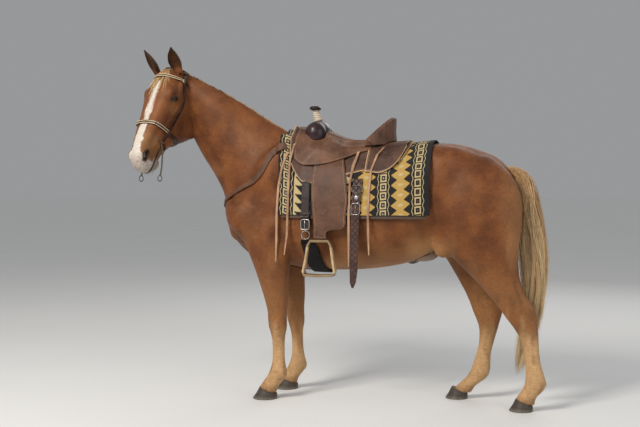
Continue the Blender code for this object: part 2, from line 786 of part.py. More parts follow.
def part_cuts():
    """The narrow cuts between the pieces of the body."""
    cuts = [
        slab(body_point(-0.120, 0, 1.360), Vector((-0.80, 0, 0.60)), Y, 0.60, 0.74),
        slab(body_point(1.376, 0, 1.342), Vector((0.93, 0, -0.36)), Y, 0.12, 0.088),
    ]
    for side in (1, -1):
        step = lean(0.82, FAR_FORE_STEP, 0.8) if side < 0 else 0.0
        fore = Vector((0.24, side * 0.46, 1.0))
        cuts.append(slab(body_point(step, side * 0.165, 0.812), fore, X, 0.40, 0.25))
        step = lean(0.90, FAR_HIND_STEP, 1.1) if side < 0 else 0.0
        hind = Vector((-0.25, side * 0.30, 1.0))
        cuts.append(slab(body_point(1.190 + step, side * 0.148, 0.900 + 0.25 * step), hind, X, 0.66, 0.29))
    return cuts


def ear_cuts():
    cuts = []
    for side in (1, -1):
        up = head_dir(*side_of(EAR_UP, side))
        seat = head_point(*side_of(EAR_AT, side)) + up * 0.022
        cuts.append(slab(seat, up, FACE_X, 0.085, 0.085))
    return cuts


for old in list(bpy.data.objects):
    bpy.data.objects.remove(old)

body = join_clay("body", [trunk(), neck(),
                          leg("clay_fl", FORE_LEG, 1, 0.0, 0.8),
                          leg("clay_fr", FORE_LEG, -1, FAR_FORE_STEP, 0.8),
                          leg("clay_hl", HIND_LEG, 1, 0.0, 1.1),
                          leg("clay_hr", HIND_LEG, -1, FAR_HIND_STEP, 1.1)]
                 + muscles(), BODY_VOXEL, 24)
skull = join_clay("skull", [head()] + head_lumps(), HEAD_VOXEL, 6)
model_head(skull)
hide = BVHTree.FromObject(body, bpy.context.evaluated_depsgraph_get())
thin(body, 2600)
thin(skull, 1640)
boolean(skull, [ear(1), ear(-1)], "UNION")
boolean(skull, ear_cuts() + [eye_socket(1), eye_socket(-1)], "DIFFERENCE")
boolean(body, [tail_core()], "UNION")
below = []
for key in HOOVES:
    centre, normal = coronet(key)
    below.append(block(centre, -normal, X, 0.30, 0.20, 0.20))
boolean(body, below, "DIFFERENCE")
boolean(body, part_cuts(), "DIFFERENCE")


COATS = {
    "chestnut": (0.145, 0.045, 0.016, 0.62, 0.0),
    "flaxen": (0.480, 0.280, 0.110, 0.70, 0.0),
    "sandy": (0.420, 0.260, 0.140, 0.65, 0.0),
    "horn": (0.045, 0.036, 0.030, 0.45, 0.0),
    "eye": (0.012, 0.006, 0.004, 0.08, 0.0),
}


def material(name, values):
    """A Principled material: red, green, blue, roughness, metallic."""
    made = bpy.data.materials.get(name) or bpy.data.materials.new(name)
    made.use_nodes = True
    shader = made.node_tree.nodes["Principled BSDF"]
    shader.inputs["Base Color"].default_value = (*values[:3], 1.0)
    shader.inputs["Roughness"].default_value = values[3]
    shader.inputs["Metallic"].default_value = values[4]
    made.diffuse_color = (*values[:3], 1.0)
    return made


def finish(obj, name, look):
    obj.name = name
    obj.data.name = name
    obj.data.materials.clear()
    obj.data.materials.append(material(look, COATS[look]))
    return obj


# Pieces of the cut body: a point in the middle of each
PLACES = {
    "torso": (0.10, 0.00, 1.12),
    "neck": (-0.83, -0.02, 1.56),
    "head": (-1.12, -0.24, 1.64),
    "tail_dock": (1.02, 0.00, 1.16),
    "ear_left": tuple(head_point(*side_of(EAR_AT, 1)) + FACE_Z * 0.09),
    "ear_right": tuple(head_point(*side_of(EAR_AT, -1)) + FACE_Z * 0.09),
    "foreleg_left": (-0.42, -0.16, 0.46),
    "foreleg_right": (-0.40, 0.16, 0.46),
    "hindleg_left": (0.90, -0.14, 0.56),
    "hindleg_right": (0.73, 0.14, 0.55),
}


def part_body(obj, count):
    """Each closed piece as an object of its own, named for where it is."""
    made = {}
    for piece in shells(obj)[:count]:
        middle = sum((v.co for v in piece.verts), Vector()) / len(piece.verts)
        name = min(PLACES, key=lambda key: (Vector(PLACES[key]) - middle).length)
        made[name] = mesh_object(name, piece)
    bpy.data.objects.remove(obj)
    return made


flesh = part_body(body, 7)
flesh.update(part_body(skull, 3))
clear_of(flesh["neck"], [flesh["head"]])
for name, obj in flesh.items():
    finish(obj, name, "flaxen" if name == "tail_dock" else "chestnut")
for key in HOOVES:
    flesh[f"hoof_{key}"] = finish(hoof(key), f"hoof_{key}", "horn")
for side in (1, -1):
    ball = eye(side)
    flesh[ball.name] = finish(ball, ball.name, "eye")

keep_largest(boolean(flesh["tail_dock"], tail_locks(), "UNION"))
flesh["tail"] = finish(flesh.pop("tail_dock"), "tail", "flaxen")
keep_largest(boolean(flesh["neck"], mane_locks(flesh["neck"]), "UNION"))
keep_largest(boolean(flesh["head"], forelock_locks(flesh["head"]), "UNION"))
clear_of(flesh["neck"], [flesh["head"], flesh["torso"]], 0.0005)

# Tack. Layers over the back, as heights above the hide: felt, blanket, skirt, fender, seat leather
FELT = (0.0065, 0.0125)
BLANKET = (0.0130, 0.0215)
SKIRT = (0.0250, 0.0310)
FENDER = (0.0368, 0.0418)
JOCKEY = (0.0450, 0.0505)
BARREL_Z = 1.12                 # height of the line that the back's layers are measured round
WIDEST_Z = 1.09                 # below this the loose pieces hang straight down
LEATHER = {
    "felt": (0.030, 0.018, 0.012, 0.95, 0.0),
    "blanket": (0.050, 0.042, 0.032, 0.95, 0.0),
    "saddle leather": (0.115, 0.042, 0.020, 0.60, 0.0),
    "swell leather": (0.022, 0.010, 0.012, 0.25, 0.0),
    "dark leather": (0.030, 0.014, 0.011, 0.50, 0.0),
    "string leather": (0.480, 0.260, 0.140, 0.70, 0.0),
    "rawhide": (0.560, 0.450, 0.300, 0.65, 0.0),
    "cinch": (0.010, 0.010, 0.012, 0.80, 0.0),
    "stirrup brass": (0.500, 0.340, 0.190, 0.40, 0.0),
    "steel": (0.600, 0.600, 0.600, 0.25, 1.0),
    "bridle leather": (0.030, 0.014, 0.010, 0.45, 0.0),
}
COATS.update(LEATHER)


def over_back(s, turn, lift):
    """A point over the barrel. turn is 0 on the spine, 90 degrees at the left side."""
    out = Vector((0, -math.sin(turn), math.cos(turn)))
    start = body_point(s, 0, BARREL_Z)
    hit = hide.ray_cast(start + out, -out)[0]
    return hit + out * lift


def at_height(s, z, side, lift):
    """The point over the barrel at a height, hanging straight down below its widest line."""
    level = max(z, WIDEST_Z)
    low, high = 0.0, math.radians(115)
    for step in range(16):
        turn = (low + high) / 2
        if over_back(s, side * turn, lift).z > level:
            low = turn
        else:
            high = turn
    point = over_back(s, side * low, lift)
    point.z = z
    return point


def outward(point):
    """Away from the barrel's middle line, and level below the widest line."""
    rise = point.z - BARREL_Z if point.z > WIDEST_Z + 0.02 else 0.0
    return Vector((0, point.y, rise)).normalized()


def joined_tree(objects):
    """One search tree over several objects."""
    verts, faces = [], []
    for obj in objects:
        first = len(verts)
        verts += [obj.matrix_world @ v.co for v in obj.data.vertices]
        faces += [[first + k for k in face.vertices] for face in obj.data.polygons]
    return BVHTree.FromPolygons(verts, faces)


CLEARANCE = 0.0018              # between a sheet and what it rests on
REACH = 0.045                   # how deep below a sheet's face the layer under it may stand out


def raise_clear(inner, outer, tree):
    """Lift the corners of each cell until both its triangles are clear of what lies under them."""
    rows, columns = len(inner), len(inner[0])
    shares = [(a / 6, b / 6, 1 - (a + b) / 6) for a in range(7) for b in range(7 - a)]
    cells = [(i, j) for i in range(rows - 1) for j in range(columns - 1)]
    halves = [[(i, j), (i, j + 1), (i + 1, j + 1)] for i, j in cells]
    halves += [[(i, j), (i + 1, j + 1), (i + 1, j)] for i, j in cells]
    for sweep in range(9):
        for corners in halves:
            worst, way, at = 0.0, None, None
            for weights in shares:
                low = sum((inner[r][c] * w for (r, c), w in zip(corners, weights)), Vector())
                high = sum((outer[r][c] * w for (r, c), w in zip(corners, weights)), Vector())
                out = (high - low).normalized()
                hit = tree.ray_cast(low + out * REACH, -out, REACH + CLEARANCE)[0]
                if hit is not None and CLEARANCE + (hit - low).dot(out) > worst:
                    worst = CLEARANCE + (hit - low).dot(out)
                    way = out / sum(w * w for w in weights)
                    at = weights
            if way is not None:
                for (r, c), w in zip(corners, at):
                    inner[r][c] = inner[r][c] + way * worst * w
                    outer[r][c] = outer[r][c] + way * worst * w


def closed_sheet(name, inner, outer, look, under=None):
    """A closed thick sheet from two grids of points, clear of the objects under it."""
    if under is not None:
        raise_clear(inner, outer, under)
    bm = bmesh.new()
    rows, columns = len(inner), len(inner[0])
    faces = []
    grids = [[[bm.verts.new(p) for p in row] for row in grid] for grid in (inner, outer)]
    for grid in grids:
        for i in range(rows - 1):
            for j in range(columns - 1):
                faces.append((grid[i][j], grid[i][j + 1], grid[i + 1][j + 1]))
                faces.append((grid[i][j], grid[i + 1][j + 1], grid[i + 1][j]))
    edge = ([(0, j) for j in range(columns)] + [(i, columns - 1) for i in range(1, rows)]
            + [(rows - 1, j) for j in range(columns - 2, -1, -1)] + [(i, 0) for i in range(rows - 2, 0, -1)])
    for (a, b), (c, d) in zip(edge, edge[1:] + edge[:1]):
        faces.append((grids[0][a][b], grids[0][c][d], grids[1][c][d], grids[1][a][b]))
    for face in faces:
        bm.faces.new(face)
    bmesh.ops.triangulate(bm, faces=bm.faces)
    return finish(mesh_object(name, bm), name, look)


PAD_ROWS = [0.120, 0.210, 0.320, 0.460, 0.620, 0.770, 0.880]
PAD_TURNS = [0.0, 11.0, 24.0, 40.0, 58.0]


def saddle_pad(name, front, rear, hem, layer, look, under):
    """A sheet over the spine that ends on both sides at the height hem."""
    rows = []
    for s in [front] + PAD_ROWS + [rear]:
        p = at_height(s, max(hem, WIDEST_Z), 1, layer[0])
        edge = math.atan2(abs(p.y), p.z - BARREL_Z) + (WIDEST_Z - hem) / 0.27
        half = [math.radians(turn) for turn in PAD_TURNS] + [edge]
        rows.append([(s, turn) for turn in half[::-1] + [-turn for turn in half[1:]]])
    sheets = [[[over_back(s, turn, lift) for s, turn in row] for row in rows] for lift in layer]
    return closed_sheet(name, sheets[0], sheets[1], look, under)


def panel(name, rows, side, layer, look, under):
    """A sheet on one side. rows run downwards, each a row of (s, z)."""
    inner = [[at_height(s, z, side, layer[0]) for s, z in row] for row in rows]
    outer = [[p + outward(p) * (layer[1] - layer[0]) for p in row] for row in inner]
    return closed_sheet(name, inner, outer, look, under)


def spread(rows, columns):
    """Rows of front s, rear s, front z and rear z as rows of points."""
    return [[(a + (b - a) * j / (columns - 1), c + (d - c) * j / (columns - 1)) for j in range(columns)]
            for a, b, c, d in rows]


SKIRT_HEM = [(0.125, 1.365), (0.200, 1.250), (0.300, 1.240), (0.420, 1.275), (0.530, 1.300),
             (0.640, 1.325), (0.740, 1.350), (0.800, 1.400), (0.822, 1.460)]


def skirt(side, under):
    rows = [[] for level in range(5)]
    for s, hem in SKIRT_HEM:
        top = over_back(s, math.radians(9), SKIRT[0]).z
        for level in range(5):
            rows[level].append((s, top + (hem - top) * (level / 4) ** 0.8))
    return panel(f"saddle_skirt_{LR[side]}", rows, side, SKIRT, "saddle leather", under)


LR = {1: "left", -1: "right"}
FENDER_ROWS = [
    (0.285, 0.445, 1.395, 1.395),
    (0.275, 0.462, 1.330, 1.335),
    (0.272, 0.480, 1.240, 1.240),
    (0.278, 0.490, 1.150, 1.155),
    (0.286, 0.482, 1.070, 1.075),
    (0.292, 0.470, 1.005, 1.000),
    (0.290, 0.375, 0.985, 0.980),
    (0.288, 0.368, 0.935, 0.935),
]


def fender(side, under):
    return panel(f"fender_{LR[side]}", spread(FENDER_ROWS, 4), side, FENDER, "saddle leather", under)


# Seat: s, half width of the ground seat, its height at the middle and at its edge, hem of the jockey
SEAT = [
    (0.150, 0.000, 0.000, 1.520, 1.362),
    (0.200, 0.000, 0.000, 1.520, 1.348),
    (0.290, 0.085, 1.568, 1.553, 1.342),
    (0.370, 0.120, 1.525, 1.515, 1.355),
    (0.450, 0.150, 1.498, 1.492, 1.385),
    (0.530, 0.165, 1.492, 1.490, 1.418),
    (0.600, 0.160, 1.500, 1.490, 1.436),
]


def seat(under):
    """The ground seat and its two side leathers, one piece over the tree. Its front lies on the skirts."""
    inner, outer = [], []
    for s, half, middle, edge, hem in SEAT:
        low, high = [], []
        for side in (1, -1):
            foot = at_height(s, edge - 0.030, side, JOCKEY[1])
            fall = [at_height(s, hem + (edge - 0.030 - hem) * k / 2, side, JOCKEY[0]) for k in range(3)]
            face = [p + outward(p) * (JOCKEY[1] - JOCKEY[0]) for p in fall]
            half_way = body_point(s, side * min(half, abs(foot.y)), edge)
            if not half:
                half_way = over_back(s, side * math.radians(14), SKIRT[1] + 0.010)
            low.append(fall)
            high.append(face + [half_way])
        crown = over_back(s, 0.0, SKIRT[1] + 0.004)
        top = body_point(s, 0, middle) if half else over_back(s, 0.0, SKIRT[1] + 0.010)
        flank = [over_back(s, side * math.radians(14), SKIRT[1] + 0.004) for side in (1, -1)]
        inner.append(low[0] + [flank[0], crown, flank[1]] + low[1][::-1])
        outer.append(high[0] + [top] + high[1][::-1])
    return closed_sheet("saddle_seat", inner, outer, "saddle leather", under)


def swell():
    axes = WORLD_AXES
    clay = [
        ellipsoid("bridge", body_point(0.252, 0, 1.560), axes, (0.060, 0.100, 0.062)),
        ellipsoid("bulge", body_point(0.250, 0.100, 1.535), axes, (0.066, 0.056, 0.074)),
        ellipsoid("bulge", body_point(0.250, -0.100, 1.535), axes, (0.066, 0.056, 0.074)),
    ]
    obj = thin(join_clay("saddle_swell", clay, 0.008, 6), 260)
    return finish(obj, "saddle_swell", "swell leather")


# Horn: how far forward its middle lies, height, half length, half width
HORN = [(0.246, 1.600, 0.030, 0.030), (0.240, 1.630, 0.027, 0.026), (0.228, 1.664, 0.022, 0.021),
        (0.225, 1.680, 0.022, 0.021)]
CAP = [(0.224, 1.6805, 0.028, 0.034), (0.223, 1.686, 0.034, 0.042), (0.222, 1.695, 0.035, 0.043),
       (0.222, 1.703, 0.028, 0.036)]


def turned(name, rows, look, sides=14):
    bm = bmesh.new()
    loft(bm, [ring_points(body_point(s, 0, z), Y, -X, wide, long, long, 2, 2, sides)
              for s, z, long, wide in rows])
    return finish(mesh_object(name, bm), name, look)


def cantle():
    """The raised back of the seat: a dished plate that curves forward at both ends."""
    rings = []
    for k in range(11):
        u = -1 + 2 * k / 10
        top = Vector((0.688 - 0.125 * u * u, 0.178 * u, 1.632 - 0.135 * abs(u) ** 2.0))
        foot = Vector((0.640 - 0.100 * u * u, 0.165 * u, 1.482 - 0.020 * abs(u)))
        lean_out = Vector((0.020, 0.010 * u, -0.006))
        ring = [foot, foot + (top - foot) * 0.5 + Vector((0.014, 0, -0.006)), top,
                top + lean_out, foot + (top - foot) * 0.55 + lean_out * 1.9,
                foot + Vector((0.070, 0.012 * u, 0))]
        rings.append([body_point(*p) for p in ring])
    bm = bmesh.new()
    loft(bm, rings)
    bmesh.ops.triangulate(bm, faces=bm.faces)
    return finish(mesh_object("saddle_cantle", bm), "saddle_cantle", "saddle leather")


def rear_jockey(under):
    """The leather behind the cantle, over the spine and both skirts."""
    rows = []
    for s, reach in [(0.600, 56), (0.660, 58), (0.720, 54), (0.770, 44), (0.800, 26)]:
        rows.append([(s, math.radians(reach) * (1 - j / 4)) for j in range(9)])
    sheets = [[[over_back(s, turn, lift) for s, turn in row] for row in rows]
              for lift in (SKIRT[1] + 0.0035, SKIRT[1] + 0.0090)]
    return closed_sheet("rear_jockey", sheets[0], sheets[1], "saddle leather", under)


def stirrup(side):
    """A flat-treaded stirrup: two legs that spread downwards from its bolt."""
    at = at_height(0.330, 0.94, side, (FENDER[0] + FENDER[1]) / 2)
    path = [(-0.052, 0.924, 0.012, 0.007), (0.052, 0.924, 0.012, 0.007), (0.066, 0.900, 0.013, 0.006),
            (0.078, 0.820, 0.016, 0.006), (0.090, 0.755, 0.024, 0.006), (0.082, 0.735, 0.036, 0.006),
            (0.000, 0.731, 0.040, 0.006), (-0.082, 0.735, 0.036, 0.006), (-0.090, 0.755, 0.024, 0.006),
            (-0.078, 0.820, 0.016, 0.006), (-0.066, 0.900, 0.013, 0.006)]
    centres = [Vector((at.x + ds - 0.004, at.y, z)) for ds, z, wide, thick in path]
    middle = Vector((at.x, at.y, 0.84))
    bm = bmesh.new()
    rings = []
    n = len(path)
    for k, (ds, z, wide, thick) in enumerate(path):
        run = (centres[(k + 1) % n] - centres[k - 1]).normalized()
        out = Y.cross(run).normalized()
        if out.dot(centres[k] - middle) < 0:
            out = -out
        rings.append([bm.verts.new(centres[k] + Y * a * wide + out * b * thick)
                      for a, b in ((-1, -1), (1, -1), (1, 1), (-1, 1))])
    for k in range(n):
        for j in range(4):
            far = rings[(k + 1) % n]
            bm.faces.new((rings[k][j], rings[k][(j + 1) % 4], far[(j + 1) % 4], far[j]))
    bmesh.ops.triangulate(bm, faces=bm.faces)
    return finish(mesh_object(f"stirrup_{LR[side]}", bm), f"stirrup_{LR[side]}", "stirrup brass")


def hanging_strap(name, path, side, width, thick, look, under):
    """A strap that hangs down one side: s, z, lift and share of the width at each point."""
    inner = [[at_height(s + width * share * f / 2, z, side, lift) for f in (-1, 1)]
             for s, z, lift, share in path]
    outer = [[p + outward(p) * thick for p in row] for row in inner]
    return closed_sheet(name, inner, outer, look, under)


STRINGS = {
    "front_a": [(0.160, 1.440, 0.0520, 1), (0.135, 1.370, 0.0520, 1), (0.126, 1.300, 0.0340, 1),
                (0.126, 1.200, 0.0250, 1), (0.127, 1.080, 0.0250, 1), (0.122, 0.950, 0.0240, 1),
                (0.106, 0.840, 0.0240, 0.5)],
    "front_b": [(0.118, 1.420, 0.0290, 1), (0.088, 1.340, 0.0250, 1), (0.066, 1.230, 0.0250, 1),
                (0.060, 1.080, 0.0250, 1), (0.058, 0.930, 0.0240, 1), (0.054, 0.800, 0.0240, 0.5)],
    "middle": [(0.528, 1.425, 0.0520, 1), (0.512, 1.340, 0.0340, 1), (0.500, 1.255, 0.0300, 1),
               (0.497, 1.080, 0.0300, 1), (0.497, 0.930, 0.0300, 1), (0.497, 0.785, 0.0300, 0.5)],
    "rear": [(0.668, 1.450, 0.0480, 1), (0.640, 1.405, 0.0460, 1), (0.618, 1.310, 0.0340, 1),
             (0.608, 1.200, 0.0250, 1), (0.606, 1.080, 0.0250, 1), (0.608, 0.960, 0.0250, 1),
             (0.612, 0.850, 0.0250, 0.5)],
}


def laid_strap(name, points, width, thick, look, tree, under, narrow=None):
    """A strap laid on the skin. Each point is a place near the skin and the lift over it there.

    narrow is the share of the width that is left past the middle of its length.
    """
    rows = catmull([[*p, lift] for p, lift in points], 2)
    hits = [tree.find_nearest(Vector(row[:3])) for row in rows]
    inner, outer = [], []
    for i, ((centre, normal, index, distance), row) in enumerate(zip(hits, rows)):
        run = (hits[min(i + 1, len(hits) - 1)][0] - hits[max(i - 1, 0)][0]).normalized()
        across = normal.cross(run).normalized()
        low, high = [], []
        wide = width * (narrow if narrow and i > len(hits) / 2 else 1.0)
        for f in (-0.5, 0.5):
            foot = centre + across * wide * f
            hit, turned_normal, index, distance = tree.find_nearest(foot)
            flat = (normal + turned_normal).normalized()
            rise = max((hit - foot).dot(flat), 0.0)
            low.append(foot + flat * (rise + row[3]))
            high.append(foot + flat * (rise + row[3] + thick))
        inner.append(low)
        outer.append(high)
    return closed_sheet(name, inner, outer, look, under)


CINCH_LIFT = (0.0100, 0.0180)
CINCH_TOP = 0.9295
RING_Z = 0.9568
RING_RADIUS = 0.0240
RING_BAR = 0.0035


def cinch():
    """The wide band under the belly; at each end it rises to the ring on the latigo."""
    grids = []
    for lift in CINCH_LIFT:
        ends = [at_height(0.240, CINCH_TOP, side, 0.0290 + lift - CINCH_LIFT[0]) for side in (1, -1)]
        turns = [math.atan2(abs(p.y), p.z - BARREL_Z) for p in ends]
        grid = []
        for k in range(17):
            share = k / 16
            turn = turns[0] + (2 * math.pi - turns[0] - turns[1]) * share
            middle = math.sin(math.pi * share)
            s = 0.240 + 0.040 * middle
            half = 0.026 + 0.024 * min(1.0, 5 * middle)
            if k in (0, 16):
                grid.append([ends[k // 16] + X * half * f for f in (-1, 0, 1)])
            else:
                grid.append([over_back(s + half * f, turn, lift) for f in (-1, 0, 1)])
        grids.append(grid)
    return closed_sheet("cinch", grids[0], grids[1], "cinch")


def torus(name, centre, normal, radius, bar, look, sides=12):
    """A ring of round bar that lies square to normal."""
    bpy.ops.mesh.primitive_torus_add(major_segments=sides, minor_segments=4, major_radius=radius,
                                     minor_radius=bar, location=(0, 0, 0))
    obj = bpy.context.object
    normal = normal.normalized()
    across = normal.orthogonal().normalized()
    turn = Matrix((across, normal.cross(across), normal)).transposed()
    obj.data.transform(Matrix.Translation(centre) @ turn.to_4x4())
    while obj.data.uv_layers:
        obj.data.uv_layers.remove(obj.data.uv_layers[0])
    return finish(obj, name, look)


def cinch_ring(side):
    hang = at_height(0.240, RING_Z, side, 0.0290 + 0.0030)
    return torus(f"cinch_ring_{LR[side]}", hang, Y, RING_RADIUS, RING_BAR, "steel")


# Breast collar, one side: s, left, z, lift
COLLAR = [(0.098, 0.165, 1.452, 0.0030), (0.050, 0.185, 1.436, 0.0030), (0.020, 0.195, 1.420, 0.0030),
          (-0.010, 0.205, 1.385, 0.0030), (-0.050, 0.205, 1.310, 0.0030), (-0.105, 0.195, 1.262, 0.0030),
          (-0.160, 0.175, 1.228, 0.0030), (-0.215, 0.145, 1.192, 0.0030), (-0.262, 0.110, 1.160, 0.0030),
          (-0.300, 0.070, 1.135, 0.0030), (-0.322, 0.026, 1.116, 0.0030)]
TIE_DOWN = [(-0.328, 0.000, 1.068, 0.0030), (-0.315, 0.000, 1.020, 0.0030), (-0.285, 0.000, 0.950, 0.0030),
            (-0.225, 0.000, 0.880, 0.0030), (-0.150, 0.000, 0.830, 0.0030), (-0.060, 0.000, 0.800, 0.0030),
            (0.050, 0.000, 0.775, 0.0030), (0.130, 0.000, 0.760, 0.0030), (0.212, 0.000, 0.748, 0.0030)]


def collar(side, chest):
    points = [(body_point(s, side * left, z), lift) for s, left, z, lift in COLLAR]
    strap = laid_strap(f"breast_strap_{LR[side]}", points, 0.040, 0.0050, "saddle leather", hide, chest, 0.65)
    return clear_of(strap, [flesh["torso"], flesh["neck"]], 0.0005)


def tie_down(chest):
    points = [(body_point(s, left, z), lift) for s, left, z, lift in TIE_DOWN]
    return laid_strap("breast_tie_down", points, 0.026, 0.0045, "saddle leather", hide, chest)


def collar_ring():
    hit, normal, index, distance = hide.find_nearest(body_point(-0.332, 0.0, 1.100))
    return torus("breast_ring", hit + normal * 0.0065, normal, 0.0200, 0.0032, "steel")


def head_band(name, stations, width, thick, lift, look, tree):
    """A band round the head. stations are x and an angle, 0 on the face and 90 on the left side."""
    inner, outer = [], []
    for x, turn in stations:
        a = math.radians(turn)
        low, high = [], []
        for f in (-0.5, 0, 0.5):
            axis = head_point(x + width * f, 0, -0.100)
            out = head_dir(0, math.sin(a), math.cos(a))
            hit = tree.ray_cast(axis + out * 0.40, -out)[0]
            low.append(hit + out * lift)
            high.append(hit + out * (lift + thick))
        inner.append(low)
        outer.append(high)
    return closed_sheet(name, inner, outer, look, tree)


BAND_LIFT = 0.0020
CHEEK_LIFT = 0.0020
CHEEKPIECE = [(0.030, -0.080), (0.090, -0.100), (0.150, -0.122), (0.210, -0.132), (0.290, -0.130),
              (0.370, -0.124), (0.452, -0.116)]
THROATLATCH = [(0.030, 86), (0.050, 100), (0.075, 118), (0.100, 138), (0.110, 160), (0.112, 180)]


def cheekpiece(side, tree, under):
    points = []
    for x, z in CHEEKPIECE:
        start = head_point(x, side * 0.30, z)
        points.append((tree.ray_cast(start, -FACE_Y * side)[0], CHEEK_LIFT))
    strap = laid_strap(f"cheekpiece_{LR[side]}", points, 0.018, 0.0035, "bridle leather", tree, under)
    return clear_of(strap, [browband, noseband], 0.0005)


BIT_AT = (0.478, 0.076, -0.118)
SHANK = [(0.462, 0.076, -0.098), (0.478, 0.076, -0.118), (0.530, 0.080, -0.152), (0.590, 0.080, -0.178),
         (0.640, 0.076, -0.196)]


def rod(points, radius):
    """A round bar through points."""
    curve = bpy.data.curves.new("rod", "CURVE")
    curve.dimensions = "3D"
    spline = curve.splines.new("POLY")
    spline.points.add(len(points) - 1)
    for knot, point in zip(spline.points, points):
        knot.co = (*point, 1)
    curve.bevel_depth = radius
    curve.bevel_resolution = 1
    curve.use_fill_caps = True
    bar = bpy.data.objects.new("rod", curve)
    bpy.context.scene.collection.objects.link(bar)
    graph = bpy.context.evaluated_depsgraph_get()
    graph.update()
    bm = bmesh.new()
    bm.from_mesh(bpy.data.meshes.new_from_object(bar.evaluated_get(graph)))
    bmesh.ops.remove_doubles(bm, verts=bm.verts, dist=0.00002)
    bpy.data.objects.remove(bar)
    return mesh_object("rod", bm)


def bit(side):
    """One cheek of the curb bit: its rings, its shank and the stub of the mouthpiece."""
    name = f"bit_{LR[side]}"
    line = [head_point(*side_of(p, side)) for p in SHANK]
    obj = rod(line, 0.0048)
    mouth = head_point(*side_of(BIT_AT, side))
    stub = rod([mouth + FACE_Y * side * 0.002, head_point(0.487, side * 0.054, -0.118)], 0.0050)
    rings = [torus("ring", head_point(0.452, side * 0.076, -0.087), FACE_Y, 0.0150, 0.0032, "steel"),
             torus("ring", head_point(0.656, side * 0.076, -0.200), FACE_Y, 0.0170, 0.0034, "steel")]
    keep_largest(boolean(obj, [stub] + rings, "UNION"))
    clear_of(obj, [flesh["head"]])
    return finish(obj, name, "steel")


torso = flesh["torso"]
felt = saddle_pad("felt_liner", 0.080, 0.922, 1.048, FELT, "felt", joined_tree([torso]))
clear_of(felt, [torso], 0.0004)
blanket = saddle_pad("blanket", 0.062, 0.944, 1.068, BLANKET, "blanket", joined_tree([torso, felt]))
clear_of(blanket, [felt], 0.0004)
saddle = [felt, blanket]
pads = joined_tree([torso, felt, blanket])
skirts = [clear_of(skirt(side, pads), [blanket], 0.0005) for side in (1, -1)]
on_skirts = joined_tree([torso, felt, blanket] + skirts)
fenders = [fender(1, on_skirts), fender(-1, on_skirts)]
for obj in fenders:
    clear_of(obj, skirts, 0.0005)
rear = rear_jockey(on_skirts)
ground = clear_of(seat(joined_tree([blanket] + skirts + fenders)), skirts + fenders, 0.0005)
fork = clear_of(swell(), [torso, felt, blanket] + skirts, 0.0024)
clear_of(ground, [fork], 0.0008)
horn = clear_of(turned("horn_wrap", HORN, "rawhide"), [fork, ground])
cap = turned("saddle_horn", CAP, "dark leather")
back = clear_of(cantle(), [ground, rear], 0.0030)
clear_of(ground, [back], 0.0005)
saddle += skirts + fenders + [rear, ground, fork, horn, cap, back, stirrup(1), stirrup(-1)]
saddle_tree = joined_tree([torso] + saddle)
for side in (1, -1):
    saddle.append(hanging_strap(f"latigo_{LR[side]}", [(0.236, 1.255, 0.0345, 1), (0.236, 1.170, 0.0290, 1),
                                                       (0.236, 1.080, 0.0290, 1), (0.240, 0.986, 0.0290, 1)],
                                side, 0.046, 0.006, "dark leather", saddle_tree))
    billet = [(0.545, 1.270, 0.0345, 1.1), (0.540, 1.170, 0.0300, 1), (0.535, 1.080, 0.0300, 0.95),
              (0.530, 0.920, 0.0300, 0.95), (0.527, 0.820, 0.0300, 0.95)]
    if side > 0:
        billet += [(0.526, 0.760, 0.0300, 0.9), (0.522, 0.700, 0.0300, 0.7), (0.520, 0.668, 0.0300, 0.2)]
    saddle.append(clear_of(hanging_strap(f"billet_{LR[side]}", billet, side, 0.050, 0.005, "dark leather",
                                         saddle_tree), [blanket], 0.0005))
    for key, path in STRINGS.items():
        saddle.append(clear_of(hanging_strap(f"string_{key}_{LR[side]}", path, side, 0.013, 0.0030,
                                             "string leather", saddle_tree),
                               [blanket, ground] + skirts, 0.0005))
chest = joined_tree([torso, flesh["neck"], felt, blanket])
saddle += [cinch(), cinch_ring(1), cinch_ring(-1), collar(1, chest), collar(-1, chest), tie_down(chest),
           collar_ring()]

browband = head_band("browband", [(0.056, 84), (0.060, 66), (0.064, 48), (0.066, 30), (0.066, 12),
                                  (0.066, -12), (0.066, -30), (0.064, -48), (0.060, -66), (0.056, -84)],
                     0.020, 0.0035, BAND_LIFT, "bridle leather", joined_tree([flesh["head"]]))
noseband = head_band("noseband", [(0.388, turn) for turn in range(-178, 179, 20)] + [(0.388, 178)],
                     0.024, 0.0040, BAND_LIFT, "bridle leather", joined_tree([flesh["head"]]))
CROWN = [(0.030, 0.100, -0.092), (-0.004, 0.098, -0.080), (-0.030, 0.078, -0.050), (-0.036, 0.045, -0.022)]
crown_tree = joined_tree([flesh["head"], flesh["neck"], browband])
crown = laid_strap("crown_strap", [(head_point(*p), BAND_LIFT) for p in CROWN + [(-0.037, 0.0, -0.014)]]
                   + [(head_point(*side_of(p, -1)), BAND_LIFT) for p in CROWN[::-1]],
                   0.018, 0.0035, "bridle leather", crown_tree, crown_tree)
throatlatch = head_band("throatlatch", THROATLATCH + [(x, 360 - turn) for x, turn in THROATLATCH[-2::-1]],
                        0.014, 0.0030, BAND_LIFT, "bridle leather",
                        joined_tree([flesh["head"], browband, crown]))
curb = head_band("curb_strap", [(0.462, 112), (0.478, 136), (0.490, 160), (0.493, 180), (0.490, 200),
                                (0.478, 224), (0.462, 248)],
                 0.014, 0.0030, BAND_LIFT, "bridle leather", joined_tree([flesh["head"]]))
clear_of(flesh["neck"], [throatlatch, crown], 0.0035)
bare_head = joined_tree([flesh["head"]])
strap_tree = joined_tree([flesh["head"], browband, noseband, crown, throatlatch])
bridle = [browband, noseband, crown, throatlatch, curb]
for side in (1, -1):
    bridle.append(cheekpiece(side, bare_head, strap_tree))
    bridle.append(bit(side))


